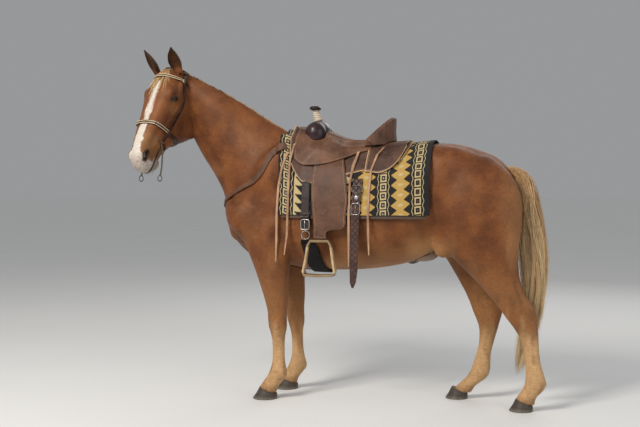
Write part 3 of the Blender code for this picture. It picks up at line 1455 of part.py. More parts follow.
def sheath():
    """The fold of skin under the flank, with the dark end that shows below it."""
    clay = [ellipsoid("fold", body_point(0.860, 0, 0.838), WORLD_AXES, (0.095, 0.040, 0.040)),
            ellipsoid("end", body_point(0.800, 0, 0.812), WORLD_AXES, (0.040, 0.028, 0.032))]
    return finish(thin(join_clay("sheath", clay, 0.010, 4), 160), "sheath", "chestnut")


flesh["sheath"] = clear_of(sheath(), [flesh["torso"]])

everything = list(flesh.values()) + saddle + bridle
for obj in everything:
    obj.data.transform(obj.matrix_world)
    obj.matrix_world = Matrix()
low = Vector([min(v.co[k] for obj in everything for v in obj.data.vertices) for k in range(3)])
high = Vector([max(v.co[k] for obj in everything for v in obj.data.vertices) for k in range(3)])
SHIFT = -Vector(((low.x + high.x) / 2, (low.y + high.y) / 2, low.z))
model = bpy.data.collections.new("missouri fox trotter horse")
bpy.context.scene.collection.children.link(model)
for obj in everything:
    obj.data.transform(Matrix.Translation(SHIFT))
    for owner in list(obj.users_collection):
        owner.objects.unlink(obj)
    model.objects.link(obj)
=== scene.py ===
# %% [markdown]
# # A saddled horse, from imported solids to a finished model
# The solids of the horse and its tack come in first as a fixed frame. Everything made here is placed
# in that frame, in metres. The horse faces -X, its left side is on -Y and the ground is z = 0.

# %% Load the frame and keep its box
import math

import bmesh
import bpy
import numpy as np
from mathutils import Matrix, Vector
from mathutils.bvhtree import BVHTree


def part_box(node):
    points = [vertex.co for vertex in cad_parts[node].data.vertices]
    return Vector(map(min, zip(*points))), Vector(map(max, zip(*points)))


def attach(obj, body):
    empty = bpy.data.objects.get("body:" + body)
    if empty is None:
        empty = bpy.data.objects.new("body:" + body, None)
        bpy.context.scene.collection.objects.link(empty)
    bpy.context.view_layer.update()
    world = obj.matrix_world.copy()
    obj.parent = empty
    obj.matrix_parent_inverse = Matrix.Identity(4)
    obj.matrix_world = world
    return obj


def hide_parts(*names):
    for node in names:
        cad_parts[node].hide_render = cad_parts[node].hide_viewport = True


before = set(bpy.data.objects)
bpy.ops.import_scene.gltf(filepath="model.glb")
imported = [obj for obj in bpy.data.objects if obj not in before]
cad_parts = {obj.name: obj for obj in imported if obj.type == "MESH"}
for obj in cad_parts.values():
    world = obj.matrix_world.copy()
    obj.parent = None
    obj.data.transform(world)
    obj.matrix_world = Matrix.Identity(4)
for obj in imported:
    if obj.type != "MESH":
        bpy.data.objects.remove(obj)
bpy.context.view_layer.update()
scene = bpy.context.scene
bpy.ops.object.select_all(action="DESELECT")

# %% [markdown]
# ## Two sets of measures
# A trainer measures a horse from its feet, and a saddler measures a head from the poll. So there are two
# sets of measures: s, left and z run back from the fore hooves, and x, y and z of the head run down the
# face, to the horse's left and out of the face. The left eye's solid tells how both lie in the frame.

# %% Sizes of the body and the head's turn
HEAD_TURN = math.radians(70)
FACE_TILT = math.radians(28.5)
HEAD_SCALE = 0.99
HEADING = Vector((-math.cos(HEAD_TURN), -math.sin(HEAD_TURN), 0.0))
FACE_X = HEADING * math.sin(FACE_TILT) - Vector((0, 0, 1)) * math.cos(FACE_TILT)
FACE_Z = HEADING * math.cos(FACE_TILT) + Vector((0, 0, 1)) * math.sin(FACE_TILT)
FACE_Y = FACE_Z.cross(FACE_X)
EYE_AT = Vector((0.197, 0.099, -0.056))
EYE_RADIUS = 0.0220
EYE_LOOK = Vector((0.10, 0.93, 0.30))
POLL_FROM_FEET = Vector((-0.658, -0.154, 1.943))

low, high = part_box("eye_left")
POLL = (low + high) / 2 - HEAD_SCALE * (FACE_X * EYE_AT.x + FACE_Y * EYE_AT.y + FACE_Z * EYE_AT.z)
FEET = POLL - POLL_FROM_FEET
FAR_HIND_STEP = -0.383
FAR_FORE_STEP = 0.035


def head_point(x, y, z):
    """A point of the head's measures in the frame."""
    return POLL + HEAD_SCALE * (FACE_X * x + FACE_Y * y + FACE_Z * z)


def head_dir(x, y, z):
    return (FACE_X * x + FACE_Y * y + FACE_Z * z).normalized()


def body_point(s, left, z):
    """A point of the body's measures in the frame."""
    return Vector((FEET.x + s, FEET.y - left, z))


print("feet at", tuple(round(x, 4) for x in FEET), "poll at", tuple(round(x, 3) for x in POLL))

# %% [markdown]
# ## The body as clay
# An animal has no edges, so its body is built as a sculptor builds one: rough masses are pushed into each
# other and then worked to one skin. Each mass is a primitive from Blender's Add menu, moved to its place.
# The trunk, neck and legs change their section all the way, so they start as cylinders with many
# rings, and each ring is set to a measured section.

# %% Rings for the long masses
def catmull(rows, per_gap):
    """Rows of numbers, with per_gap rows in each gap, on a smooth curve through them."""
    rows = np.array(rows, float)
    padded = np.vstack([2 * rows[0] - rows[1], rows, 2 * rows[-1] - rows[-2]])
    out = []
    for i in range(1, len(padded) - 2):
        p0, p1, p2, p3 = padded[i - 1:i + 3]
        for k in range(per_gap):
            t = k / per_gap
            out.append(0.5 * (2 * p1 + (p2 - p0) * t + (2 * p0 - 5 * p1 + 4 * p2 - p3) * t ** 2
                              + (3 * p1 - p0 - 3 * p2 + p3) * t ** 3))
    out.append(rows[-1])
    return np.array(out)


def section(centre, side, up, half, above, below, round_top, round_bottom, count=28):
    """A rounded section: half wide each way, above and below its centre, squarer as roundness grows."""
    points = []
    for k in range(count):
        a = 2 * math.pi * k / count
        c, s = math.cos(a), math.sin(a)
        power = round_top if s > 0 else round_bottom
        reach = above if s > 0 else below
        x = math.copysign(abs(c) ** (2 / power), c) * half
        y = math.copysign(abs(s) ** (2 / power), s) * reach
        points.append(centre + side * x + up * y)
    return points


def ringed(name, sections):
    """A cylinder primitive cut into rings, each ring set to its section."""
    count = len(sections[0])
    bpy.ops.mesh.primitive_cylinder_add(vertices=count, radius=1, depth=len(sections) - 1)
    obj = bpy.context.object
    obj.name = name
    bm = bmesh.new()
    made = [[bm.verts.new(p) for p in ring] for ring in sections]
    for first, second in zip(made, made[1:]):
        for k in range(count):
            bm.faces.new((first[k], first[(k + 1) % count], second[(k + 1) % count], second[k]))
    bm.faces.new(made[0][::-1])
    bm.faces.new(made[-1])
    bmesh.ops.triangulate(bm, faces=bm.faces)
    bmesh.ops.recalc_face_normals(bm, faces=bm.faces)
    bm.to_mesh(obj.data)
    bm.free()
    return obj


def lump(name, centre, axes, radii):
    """A sphere primitive, stretched and turned into place."""
    bpy.ops.mesh.primitive_uv_sphere_add(segments=24, ring_count=16, radius=1.0)
    obj = bpy.context.object
    obj.name = name
    turn = Matrix([[a[i] for a in axes] for i in range(3)]).to_4x4()
    obj.data.transform(Matrix.Translation(centre) @ turn @ Matrix.Diagonal((*radii, 1.0)))
    if obj.matrix_world.determinant() * turn.determinant() < 0:
        obj.data.flip_normals()
    return obj


# %% [markdown]
# ### Trunk, neck and legs
# The numbers below are read as sections of a measured horse: for the trunk how far back it is, its top and
# bottom, and half its width. The neck's rows hold the crest and the throat. A leg's rows go down, with its
# front and back at each height. The widest places are at the ribs and the stifle, as on the real animal.

# %% Measured sections
TRUNK = [
    (-0.325, 1.150, 1.050, 0.055, 1.100, 2.0, 2.0),
    (-0.285, 1.235, 0.950, 0.130, 1.100, 2.2, 2.2),
    (-0.200, 1.350, 0.850, 0.185, 1.090, 2.2, 2.2),
    (-0.080, 1.460, 0.803, 0.215, 1.080, 2.0, 2.2),
    (0.050, 1.520, 0.770, 0.225, 1.070, 1.8, 2.2),
    (0.170, 1.543, 0.748, 0.243, 1.060, 1.7, 2.2),
    (0.320, 1.498, 0.742, 0.268, 1.070, 1.85, 2.2),
    (0.480, 1.455, 0.745, 0.288, 1.085, 2.0, 2.2),
    (0.640, 1.445, 0.762, 0.297, 1.100, 2.1, 2.2),
    (0.800, 1.460, 0.797, 0.288, 1.130, 2.2, 2.2),
    (0.930, 1.476, 0.860, 0.270, 1.170, 2.2, 2.1),
    (1.050, 1.474, 0.930, 0.255, 1.200, 2.2, 2.0),
    (1.180, 1.440, 0.990, 0.225, 1.210, 2.1, 2.0),
    (1.290, 1.392, 1.030, 0.170, 1.210, 2.0, 2.0),
    (1.356, 1.325, 1.090, 0.095, 1.210, 2.0, 2.0),
]
NECK = [
    (0.200, 0.000, 1.500, -0.230, 0.000, 0.930, 0.180),
    (0.080, 0.000, 1.548, -0.310, 0.000, 1.060, 0.160),
    (-0.060, 0.003, 1.625, -0.345, 0.000, 1.190, 0.124),
    (-0.200, 0.015, 1.718, -0.405, 0.000, 1.300, 0.101),
    (-0.345, 0.045, 1.803, -0.470, 0.000, 1.400, 0.087),
    (-0.465, 0.070, 1.865, -0.532, -0.010, 1.505, 0.066),
    (-0.550, 0.090, 1.912, -0.580, -0.012, 1.605, 0.054),
    (-0.620, 0.115, 1.912, -0.612, 0.004, 1.690, 0.048),
]
FORE_LEG = [
    (1.020, -0.215, 0.130, 0.085, 0.140),
    (0.930, -0.175, 0.145, 0.092, 0.150),
    (0.860, -0.146, 0.140, 0.088, 0.158),
    (0.790, -0.114, 0.120, 0.078, 0.164),
    (0.710, -0.083, 0.108, 0.069, 0.166),
    (0.640, -0.060, 0.106, 0.061, 0.165),
    (0.570, -0.038, 0.105, 0.054, 0.163),
    (0.500, -0.022, 0.097, 0.048, 0.161),
    (0.455, -0.016, 0.096, 0.050, 0.160),
    (0.425, -0.013, 0.097, 0.052, 0.160),
    (0.392, -0.008, 0.092, 0.047, 0.160),
    (0.350, 0.003, 0.084, 0.037, 0.160),
    (0.280, 0.007, 0.083, 0.033, 0.160),
    (0.215, 0.004, 0.086, 0.034, 0.160),
    (0.165, -0.010, 0.098, 0.042, 0.160),
    (0.135, -0.024, 0.097, 0.043, 0.160),
    (0.100, -0.050, 0.070, 0.039, 0.160),
    (0.070, -0.070, 0.045, 0.041, 0.160),
    (0.050, -0.082, 0.036, 0.044, 0.160),
    (0.030, -0.086, 0.036, 0.042, 0.160),
]
HIND_LEG = [
    (1.400, 1.020, 1.250, 0.080, 0.080),
    (1.300, 0.935, 1.370, 0.120, 0.120),
    (1.180, 0.900, 1.425, 0.138, 0.138),
    (1.060, 0.915, 1.432, 0.140, 0.143),
    (0.960, 0.950, 1.425, 0.130, 0.145),
    (0.880, 1.005, 1.415, 0.115, 0.145),
    (0.790, 1.095, 1.412, 0.092, 0.142),
    (0.700, 1.180, 1.425, 0.074, 0.138),
    (0.620, 1.252, 1.460, 0.060, 0.134),
    (0.560, 1.300, 1.502, 0.052, 0.132),
    (0.510, 1.335, 1.513, 0.052, 0.130),
    (0.455, 1.378, 1.516, 0.048, 0.129),
    (0.400, 1.412, 1.520, 0.040, 0.128),
    (0.330, 1.434, 1.524, 0.035, 0.128),
    (0.260, 1.441, 1.532, 0.035, 0.128),
    (0.200, 1.444, 1.550, 0.039, 0.128),
    (0.150, 1.440, 1.563, 0.044, 0.128),
    (0.115, 1.424, 1.545, 0.041, 0.128),
    (0.085, 1.402, 1.515, 0.041, 0.128),
    (0.060, 1.388, 1.500, 0.044, 0.128),
    (0.034, 1.382, 1.500, 0.042, 0.128),
]
HEAD = [
    (-0.032, -0.060, -0.160, 0.046, -0.100, 2.0, 2.0),
    (-0.008, -0.018, -0.220, 0.074, -0.095, 2.2, 2.0),
    (0.030, 0.000, -0.265, 0.090, -0.090, 2.4, 2.2),
    (0.085, 0.010, -0.305, 0.100, -0.085, 2.5, 2.4),
    (0.145, 0.018, -0.338, 0.112, -0.066, 2.8, 2.4),
    (0.205, 0.016, -0.362, 0.112, -0.074, 2.9, 2.4),
    (0.275, 0.010, -0.372, 0.102, -0.080, 2.8, 2.4),
    (0.335, 0.006, -0.328, 0.093, -0.080, 2.8, 2.3),
    (0.395, 0.004, -0.262, 0.086, -0.075, 2.7, 2.2),
    (0.460, 0.002, -0.215, 0.077, -0.075, 2.6, 2.2),
    (0.520, -0.002, -0.192, 0.069, -0.076, 2.5, 2.2),
    (0.575, -0.012, -0.184, 0.063, -0.076, 2.4, 2.2),
    (0.618, -0.030, -0.176, 0.056, -0.084, 2.3, 2.2),
    (0.645, -0.054, -0.162, 0.044, -0.095, 2.2, 2.2),
    (0.657, -0.080, -0.140, 0.028, -0.106, 2.0, 2.0),
]
TAIL = [
    (1.318, 1.350, 0.030, 0.032),
    (1.380, 1.335, 0.034, 0.036),
    (1.426, 1.278, 0.040, 0.048),
    (1.454, 1.180, 0.050, 0.060),
    (1.474, 1.020, 0.062, 0.070),
    (1.487, 0.850, 0.071, 0.072),
    (1.489, 0.680, 0.066, 0.060),
    (1.474, 0.520, 0.056, 0.050),
    (1.448, 0.380, 0.046, 0.042),
    (1.412, 0.250, 0.032, 0.030),
    (1.388, 0.170, 0.018, 0.018),
]
ACROSS = Vector((0, 1, 0))
ALONG = Vector((1, 0, 0))
UP = Vector((0, 0, 1))


def lean(z, step, reach):
    """How far a slice of a leg at height z moves when the hoof steps by step."""
    return step * max(0.0, 1 - z / reach)


def leg_middle(rows, z, side, step, reach):
    """The middle of a leg at height z, with its reach front to back."""
    table = sorted(rows)
    heights = [row[0] for row in table]
    front, back, half, out = [np.interp(z, heights, [row[k] for row in table]) for k in (1, 2, 3, 4)]
    return body_point((front + back) / 2 + lean(z, step, reach), side * out, z), (back - front) / 2, half


# %% Lay the masses
clay = []
rings = [section(body_point(s, 0, wide), ACROSS, UP, half, top - wide, wide - bottom, p_top, p_bottom)
         for s, top, bottom, half, wide, p_top, p_bottom in catmull(TRUNK, 3)]
clay.append(ringed("trunk", rings))

neck_rows = [(body_point(*row[:3]), body_point(*row[3:6]), row[6]) for row in catmull(NECK, 3)]
middles = [(crest + throat) / 2 for crest, throat, half in neck_rows]
rings = []
for i, (crest, throat, half) in enumerate(neck_rows):
    run = middles[min(i + 1, len(middles) - 1)] - middles[max(i - 1, 0)]
    rise = (crest - throat).normalized()
    reach = (crest - throat).length / 2
    rings.append(section(middles[i], rise.cross(run).normalized(), rise, half, reach, reach, 1.7, 2.2))
clay.append(ringed("neck", rings))

LEGS = {
    "foreleg_left": (FORE_LEG, 1, 0.0, 0.8),
    "foreleg_right": (FORE_LEG, -1, FAR_FORE_STEP, 0.8),
    "hindleg_left": (HIND_LEG, 1, 0.0, 1.1),
    "hindleg_right": (HIND_LEG, -1, FAR_HIND_STEP, 1.1),
}
for name, (rows, side, step, reach) in LEGS.items():
    rings = []
    for z, front, back, half, out in catmull(rows, 2):
        centre = body_point((front + back) / 2 + lean(z, step, reach), side * out, z)
        rings.append(section(centre, ACROSS, ALONG, half, (back - front) / 2, (back - front) / 2, 2.0, 2.0))
    clay.append(ringed(name, rings))
print("masses so far:", len(clay))

# %% [markdown]
# ### Muscles and the bones of the face
# Shoulder, forearm, croup and stifle stand out of the trunk of a fit riding horse. Each is one stretched
# sphere. On the head, brow bones, cheeks, nostril wings and lips are laid on in the same way, in the
# head's own measures.

# %% Lay muscles and lumps
for side in (1, -1):
    stifle = 1.045 + (side < 0) * lean(0.9, FAR_HIND_STEP, 1.1)
    for name, (s, left, z), tilt, radii in [
        ("shoulder blade", (0.010, 0.138, 1.275), 62, (0.270, 0.082, 0.130)),
        ("upper arm", (-0.110, 0.160, 1.015), -38, (0.190, 0.078, 0.115)),
        ("elbow muscle", (0.035, 0.160, 0.985), 25, (0.155, 0.078, 0.130)),
        ("breast", (-0.200, 0.090, 1.030), 68, (0.125, 0.085, 0.068)),
        ("croup", (1.080, 0.110, 1.320), -18, (0.260, 0.125, 0.125)),
        ("stifle", (stifle, 0.142, 0.975), 62, (0.160, 0.078, 0.090)),
    ]:
        a = math.radians(tilt)
        axes = (Vector((math.cos(a), 0, math.sin(a))), ACROSS, Vector((-math.sin(a), 0, math.cos(a))))
        clay.append(lump(name, body_point(s, side * left, z), axes, radii))
for i, (s, z, deep, wide) in enumerate(TAIL[:5]):
    size = 0.80 - 0.12 * max(i - 1, 0)
    fall, tall = (0.034, 0.028) if i < 2 else (0.012, 0.046)
    clay.append(lump("dock", body_point(s, 0, z - fall), (ALONG, ACROSS, UP), (deep * size, wide * size, tall)))

skull = [ringed("head", [section(head_point(x, 0, wide), FACE_Y, FACE_Z, half * HEAD_SCALE,
                                 (top - wide) * HEAD_SCALE, (wide - bottom) * HEAD_SCALE, p_top, p_bottom)
                         for x, top, bottom, half, wide, p_top, p_bottom in catmull(HEAD, 3)])]
for name, (x, y, z), tilt, radii in [
    ("brow", (0.172, 0.088, -0.030), 12, (0.052, 0.030, 0.034)),
    ("cheek arch", (0.140, 0.098, -0.076), 8, (0.085, 0.018, 0.022)),
    ("cheek", (0.205, 0.070, -0.240), 48, (0.140, 0.036, 0.112)),
    ("nostril wing", (0.586, 0.044, -0.048), 20, (0.040, 0.018, 0.030)),
    ("upper lip", (0.612, 0.024, -0.096), 30, (0.042, 0.030, 0.038)),
]:
    a = math.radians(tilt)
    axes = (head_dir(math.cos(a), 0, -math.sin(a)), FACE_Y, head_dir(math.sin(a), 0, math.cos(a)))
    for side in (1, -1):
        skull.append(lump(name, head_point(x, side * y, z), axes, [r * HEAD_SCALE for r in radii]))
skull.append(lump("chin", head_point(0.578, 0, -0.180), (head_dir(1, 0, 0.25), FACE_Y, head_dir(-0.25, 0, 1)),
                  (0.046, 0.036, 0.028)))
print("masses:", len(clay), "on the body,", len(skull), "on the head")

# %% [markdown]
# ### One skin
# Join makes the masses one object, Voxel Remesh makes its outside one closed surface, and the Smooth
# modifier does what a thumb does on clay. A fine voxel keeps lips and lids, but the trunk needs no such
# detail. So body and head are remeshed apart, each with its own voxel, and then joined by a Boolean.

# %% Remesh, relax and keep helpers for the surface
BODY_VOXEL = 0.0088
HEAD_VOXEL = 0.0050
COAT_DEPTH = 0.0012


def only(obj):
    """Make obj the one selected and active object."""
    bpy.ops.object.select_all(action="DESELECT")
    obj.select_set(True)
    bpy.context.view_layer.objects.active = obj


def join(objects, name):
    only(objects[0])
    for obj in objects:
        obj.select_set(True)
    bpy.ops.object.join()
    bpy.context.object.name = name
    return bpy.context.object


def one_skin(objects, name, voxel, relax):
    obj = join(objects, name)
    obj.data.remesh_voxel_size = voxel
    obj.data.remesh_voxel_adaptivity = 0.0
    bpy.ops.object.voxel_remesh()
    smooth = obj.modifiers.new("relax", "SMOOTH")
    smooth.factor = 0.5
    smooth.iterations = relax
    bpy.ops.object.modifier_apply(modifier=smooth.name)
    return obj


def coordinates(mesh):
    co = np.empty(len(mesh.vertices) * 3)
    mesh.vertices.foreach_get("co", co)
    return co.reshape(-1, 3)


def normals_of(mesh):
    out = np.empty(len(mesh.vertices) * 3)
    mesh.vertices.foreach_get("normal", out)
    return out.reshape(-1, 3)


def set_coordinates(mesh, co):
    mesh.vertices.foreach_set("co", np.ascontiguousarray(co, dtype=np.float64).ravel())
    mesh.update()


def bump(distance):
    """1 in the middle, falling softly to 0 at distance 1."""
    return np.clip(1 - distance ** 2, 0, 1) ** 2


def soft(value, low, high):
    """0 below low, 1 above high, smooth in between. high may be below low."""
    t = np.clip((value - low) / (high - low), 0, 1)
    return t * t * (3 - 2 * t)


def in_head(points):
    """Points in the head's own measures."""
    turn = np.array([FACE_X, FACE_Y, FACE_Z])
    return (np.asarray(points) - np.array(POLL)) @ turn.T / HEAD_SCALE


def in_body(points):
    """Points as s, left and z."""
    points = np.asarray(points)
    return np.column_stack([points[:, 0] - FEET.x, FEET.y - points[:, 1], points[:, 2]])


def along_line(points, line):
    """Distance of each point from a polyline."""
    best = np.full(len(points), 1e9)
    line = np.array(line, float)
    for a, b in zip(line[:-1], line[1:]):
        run = b - a
        t = np.clip((points - a) @ run / (run @ run), 0, 1)
        best = np.minimum(best, np.linalg.norm(points - a - t[:, None] * run, axis=1))
    return best


def tree_of(*objects):
    """One search tree over several objects."""
    verts, faces = [], []
    for obj in objects:
        first = len(verts)
        verts += [obj.matrix_world @ v.co for v in obj.data.vertices]
        faces += [[first + k for k in face.vertices] for face in obj.data.polygons]
    return BVHTree.FromPolygons(verts, faces)


body = one_skin(clay, "body", BODY_VOXEL, 28)
head = one_skin(skull, "skull", HEAD_VOXEL, 6)
print("body faces", len(body.data.polygons), "head faces", len(head.data.polygons))

# %% [markdown]
# ### Strokes
# What gives a horse its look are shallow forms: the groove of the jugular vein, the edge of the shoulder,
# the fold of the flank, the tendons of hock and cannon. Each is a stroke: a line, how far it reaches and
# how far it lifts or presses the surface along its normal. Sculpt mode's Draw brush works the same way.

# %% Strokes on body and head
BODY_STROKES = [
    ("jugular groove", [(-0.235, 0.15, 1.13), (-0.330, 0.11, 1.30), (-0.430, 0.085, 1.46), (-0.520, 0.07, 1.60)],
     0.045, -0.0090),
    ("neck muscle", [(-0.050, 0.17, 1.50), (-0.220, 0.12, 1.60), (-0.400, 0.11, 1.72), (-0.520, 0.13, 1.82)],
     0.070, 0.0050),
    ("shoulder front", [(0.030, 0.15, 1.50), (-0.110, 0.21, 1.30), (-0.215, 0.19, 1.13)], 0.050, -0.0060),
    ("shoulder spine", [(0.060, 0.17, 1.45), (-0.020, 0.22, 1.27), (-0.110, 0.23, 1.09)], 0.045, 0.0050),
    ("triceps rear", [(0.150, 0.22, 1.22), (0.110, 0.24, 1.05), (0.050, 0.235, 0.93)], 0.050, -0.0080),
    ("forearm groove", [(-0.060, 0.245, 0.96), (-0.030, 0.240, 0.84), (0.000, 0.225, 0.70)], 0.030, -0.0050),
    ("girth groove", [(0.150, 0.12, 0.76), (0.150, 0.20, 0.86)], 0.060, -0.0050),
    ("flank fold", [(0.900, 0.26, 1.22), (0.935, 0.25, 1.05), (0.920, 0.22, 0.92)], 0.060, -0.0120),
    ("haunch groove", [(1.240, 0.22, 1.30), (1.290, 0.21, 1.12), (1.290, 0.19, 0.95)], 0.050, -0.0060),
    ("hip bone", [(0.955, 0.235, 1.395), (0.985, 0.240, 1.370)], 0.060, 0.0080),
    ("knee bone", [(-0.014, 0.165, 0.470), (-0.012, 0.165, 0.420)], 0.030, 0.0040),
    ("knee crease", [(0.000, 0.215, 0.395), (0.060, 0.215, 0.400)], 0.022, -0.0040),
    ("cannon groove", [(0.052, 0.205, 0.360), (0.050, 0.203, 0.210)], 0.017, -0.0060),
    ("fetlock bulb", [(0.070, 0.195, 0.165), (0.082, 0.180, 0.145)], 0.030, 0.0030),
    ("hock tendon", [(1.395, 0.175, 0.700), (1.440, 0.170, 0.600)], 0.026, -0.0100),
    ("hock bone", [(1.395, 0.185, 0.540), (1.420, 0.180, 0.480)], 0.034, 0.0040),
    ("hind cannon groove", [(1.492, 0.168, 0.400), (1.492, 0.165, 0.260)], 0.017, -0.0060),
]
HEAD_STROKES = [
    ("cheek bone", [(0.215, 0.096, -0.105), (0.300, 0.086, -0.098), (0.360, 0.078, -0.092)], 0.020, 0.0065),
    ("hollow over the eye", [(0.132, 0.082, -0.014), (0.148, 0.088, -0.018)], 0.030, -0.0080),
    ("hollow beside the nose", [(0.400, 0.074, -0.055), (0.500, 0.064, -0.050)], 0.034, -0.0060),
    ("hollow before the cheek", [(0.345, 0.070, -0.170), (0.430, 0.062, -0.150)], 0.038, -0.0080),
    ("edge of the cheek", [(0.060, 0.078, -0.225), (0.140, 0.078, -0.300), (0.250, 0.074, -0.345)], 0.026, 0.005),
    ("mouth", [(0.505, 0.058, -0.118), (0.560, 0.056, -0.130), (0.610, 0.048, -0.138),
               (0.640, 0.032, -0.142), (0.655, 0.000, -0.144)], 0.0085, -0.0075),
    ("lower lip", [(0.575, 0.050, -0.150), (0.620, 0.034, -0.156), (0.636, 0.000, -0.159)], 0.014, 0.003),
    ("chin groove", [(0.490, 0.030, -0.195), (0.500, 0.000, -0.200)], 0.030, -0.0080),
    ("nostril rim", [(0.558, 0.058, -0.040), (0.584, 0.058, -0.026), (0.608, 0.054, -0.038),
                     (0.610, 0.054, -0.064)], 0.010, 0.0045),
    ("face vein", [(0.330, 0.088, -0.110), (0.400, 0.078, -0.120), (0.440, 0.074, -0.085)], 0.008, 0.0020),
    ("lid fold", [(0.160, 0.104, -0.030), (0.185, 0.116, -0.018), (0.215, 0.114, -0.026)], 0.007, -0.0022),
    ("lower lid fold", [(0.180, 0.116, -0.092), (0.205, 0.116, -0.096), (0.232, 0.112, -0.090)], 0.008, -0.0020),
    ("lip crease", [(0.540, 0.062, -0.100), (0.560, 0.058, -0.090)], 0.008, -0.0015),
]
NOSTRIL = [(0.566, 0.063, -0.050), (0.588, 0.062, -0.042), (0.602, 0.059, -0.054)]

co = coordinates(body.data)
normal = normals_of(body.data)
at = in_body(co)
stepping = np.where(at[:, 1] < 0, FAR_HIND_STEP * np.clip(1 - at[:, 2] / 1.1, 0, 1), 0.0) * (at[:, 0] > 0.55)
stepping += np.where(at[:, 1] < 0, FAR_FORE_STEP * np.clip(1 - at[:, 2] / 0.8, 0, 1), 0.0) * (at[:, 0] < 0.40)
still = np.column_stack([at[:, 0] - stepping, np.abs(at[:, 1]), at[:, 2]])
for name, line, reach, rise in BODY_STROKES:
    co += normal * (bump(along_line(still, line) / reach) * rise)[:, None]
co -= normal * COAT_DEPTH
set_coordinates(body.data, co)


def side_of(vector, side):
    return Vector((vector[0], side * vector[1], vector[2]))


def eye_axes(side):
    """Unit vectors at an eye: along its slit, across it, and out of the head."""
    out = head_dir(*side_of(EYE_LOOK, side))
    slit = head_dir(0.66, side * 0.05, 0.75)
    slit = (slit - out * slit.dot(out)).normalized()
    return slit, out.cross(slit).normalized() * side, out


def shape_lids(co, side):
    """Skin over the eyeball everywhere but in an almond slit, with a rim on each lid."""
    slit, across, out = (np.array(v) for v in eye_axes(side))
    rel = co - np.array(head_point(*side_of(EYE_AT, side)))
    p, q, n = rel @ slit, rel @ across, rel @ out
    spread = np.sqrt(p ** 2 + q ** 2)
    open_half = 0.0150 * np.clip(1 - (p / 0.0235) ** 2, 0, 1)
    rim = bump((np.abs(q) - open_half - 0.003) / 0.004) * 0.0012
    want = np.where(np.abs(q) < open_half, EYE_RADIUS - 0.0050, EYE_RADIUS + 0.0022 + rim)
    far = np.linalg.norm(rel, axis=1)
    blend = np.clip((1.55 * EYE_RADIUS - spread) / (0.45 * EYE_RADIUS), 0, 1) * (n > 0)
    blend = blend * blend * (3 - 2 * blend)
    co += rel * ((want / np.maximum(far, 1e-6) - 1) * blend)[:, None]


co = coordinates(head.data)
normal = normals_of(head.data)
at = in_head(co)
half_face = np.column_stack([at[:, 0], np.abs(at[:, 1]), at[:, 2]])
for name, line, reach, rise in HEAD_STROKES:
    co += normal * (bump(along_line(half_face, line) / reach) * rise)[:, None]
sink = bump(along_line(half_face, NOSTRIL) / 0.014) * 0.024
co -= normal * (COAT_DEPTH * 0.6)
for side in (1, -1):
    inward = np.array(head_dir(-0.55, -side * 0.80, -0.10))
    co += inward * (sink * (at[:, 1] * side > 0))[:, None]
    shape_lids(co, side)
set_coordinates(head.data, co)

# %% [markdown]
# ### Ears
# A horse's ear is a leaf rolled to a cup, open to the front and a little outwards. A plane would be too
# thin, so each ear is a ring of points round both faces of the leaf, carried from root to tip. Then the
# Boolean makes body, head and ears one surface.

# %% Ears and the joined skin
EAR_AT = Vector((0.022, 0.088, -0.028))
EAR_LENGTH = 0.166
EAR_UP = Vector((-0.47, 0.06, 1.00))
EAR = [
    (-0.10, 0.022, 0.022, 0.004, 0.000),
    (0.04, 0.025, 0.024, 0.006, 0.000),
    (0.16, 0.029, 0.026, 0.018, 0.000),
    (0.34, 0.037, 0.027, 0.022, 0.000),
    (0.54, 0.036, 0.023, 0.019, 0.001),
    (0.74, 0.027, 0.016, 0.012, 0.004),
    (0.90, 0.012, 0.008, 0.005, 0.011),
    (1.00, 0.003, 0.003, 0.001, 0.016),
]


def ear(side):
    up = head_dir(*side_of(EAR_UP, side))
    front = head_dir(1.00, side * 0.45, 0.45)
    front = (front - up * front.dot(up)).normalized()
    across = up.cross(front).normalized() * -side
    root = head_point(*side_of(EAR_AT, side))
    rings = []
    for share, half, cup, hollow, inward in catmull(EAR, 3):
        centre = root + up * (share * EAR_LENGTH) - across * inward * 0.8
        ring = []
        for k in range(15):
            a = math.radians(-115 + 230 * k / 14)
            ring.append(centre + across * half * math.sin(a) - front * cup * math.cos(a))
        for k in range(11):
            a = math.radians(88 - 176 * k / 10)
            edge = max(half - 0.0040, half * 0.5)
            ring.append(centre + across * edge * math.sin(a) - front * (hollow * math.cos(a) - 0.002))
        rings.append(ring)
    return ringed(f"ear_{side}", rings), (root, up, front, across)


def cut(obj, tool, how):
    """One Boolean of obj with tool, which is then removed."""
    only(obj)
    made = obj.modifiers.new(how, "BOOLEAN")
    made.operation = how
    made.solver = "MANIFOLD"
    made.object = tool
    bpy.ops.object.modifier_apply(modifier=made.name)
    bpy.data.objects.remove(tool)
    return obj


body_tree, head_tree = tree_of(body), tree_of(head)
ears = [ear(1), ear(-1)]
ear_frames = {1: ears[0][1], -1: ears[1][1]}
skin = cut(head, body, "UNION")
for made, axes in ears:
    skin = cut(skin, made, "UNION")
skin.name = "skin"
skin.data.name = "skin"

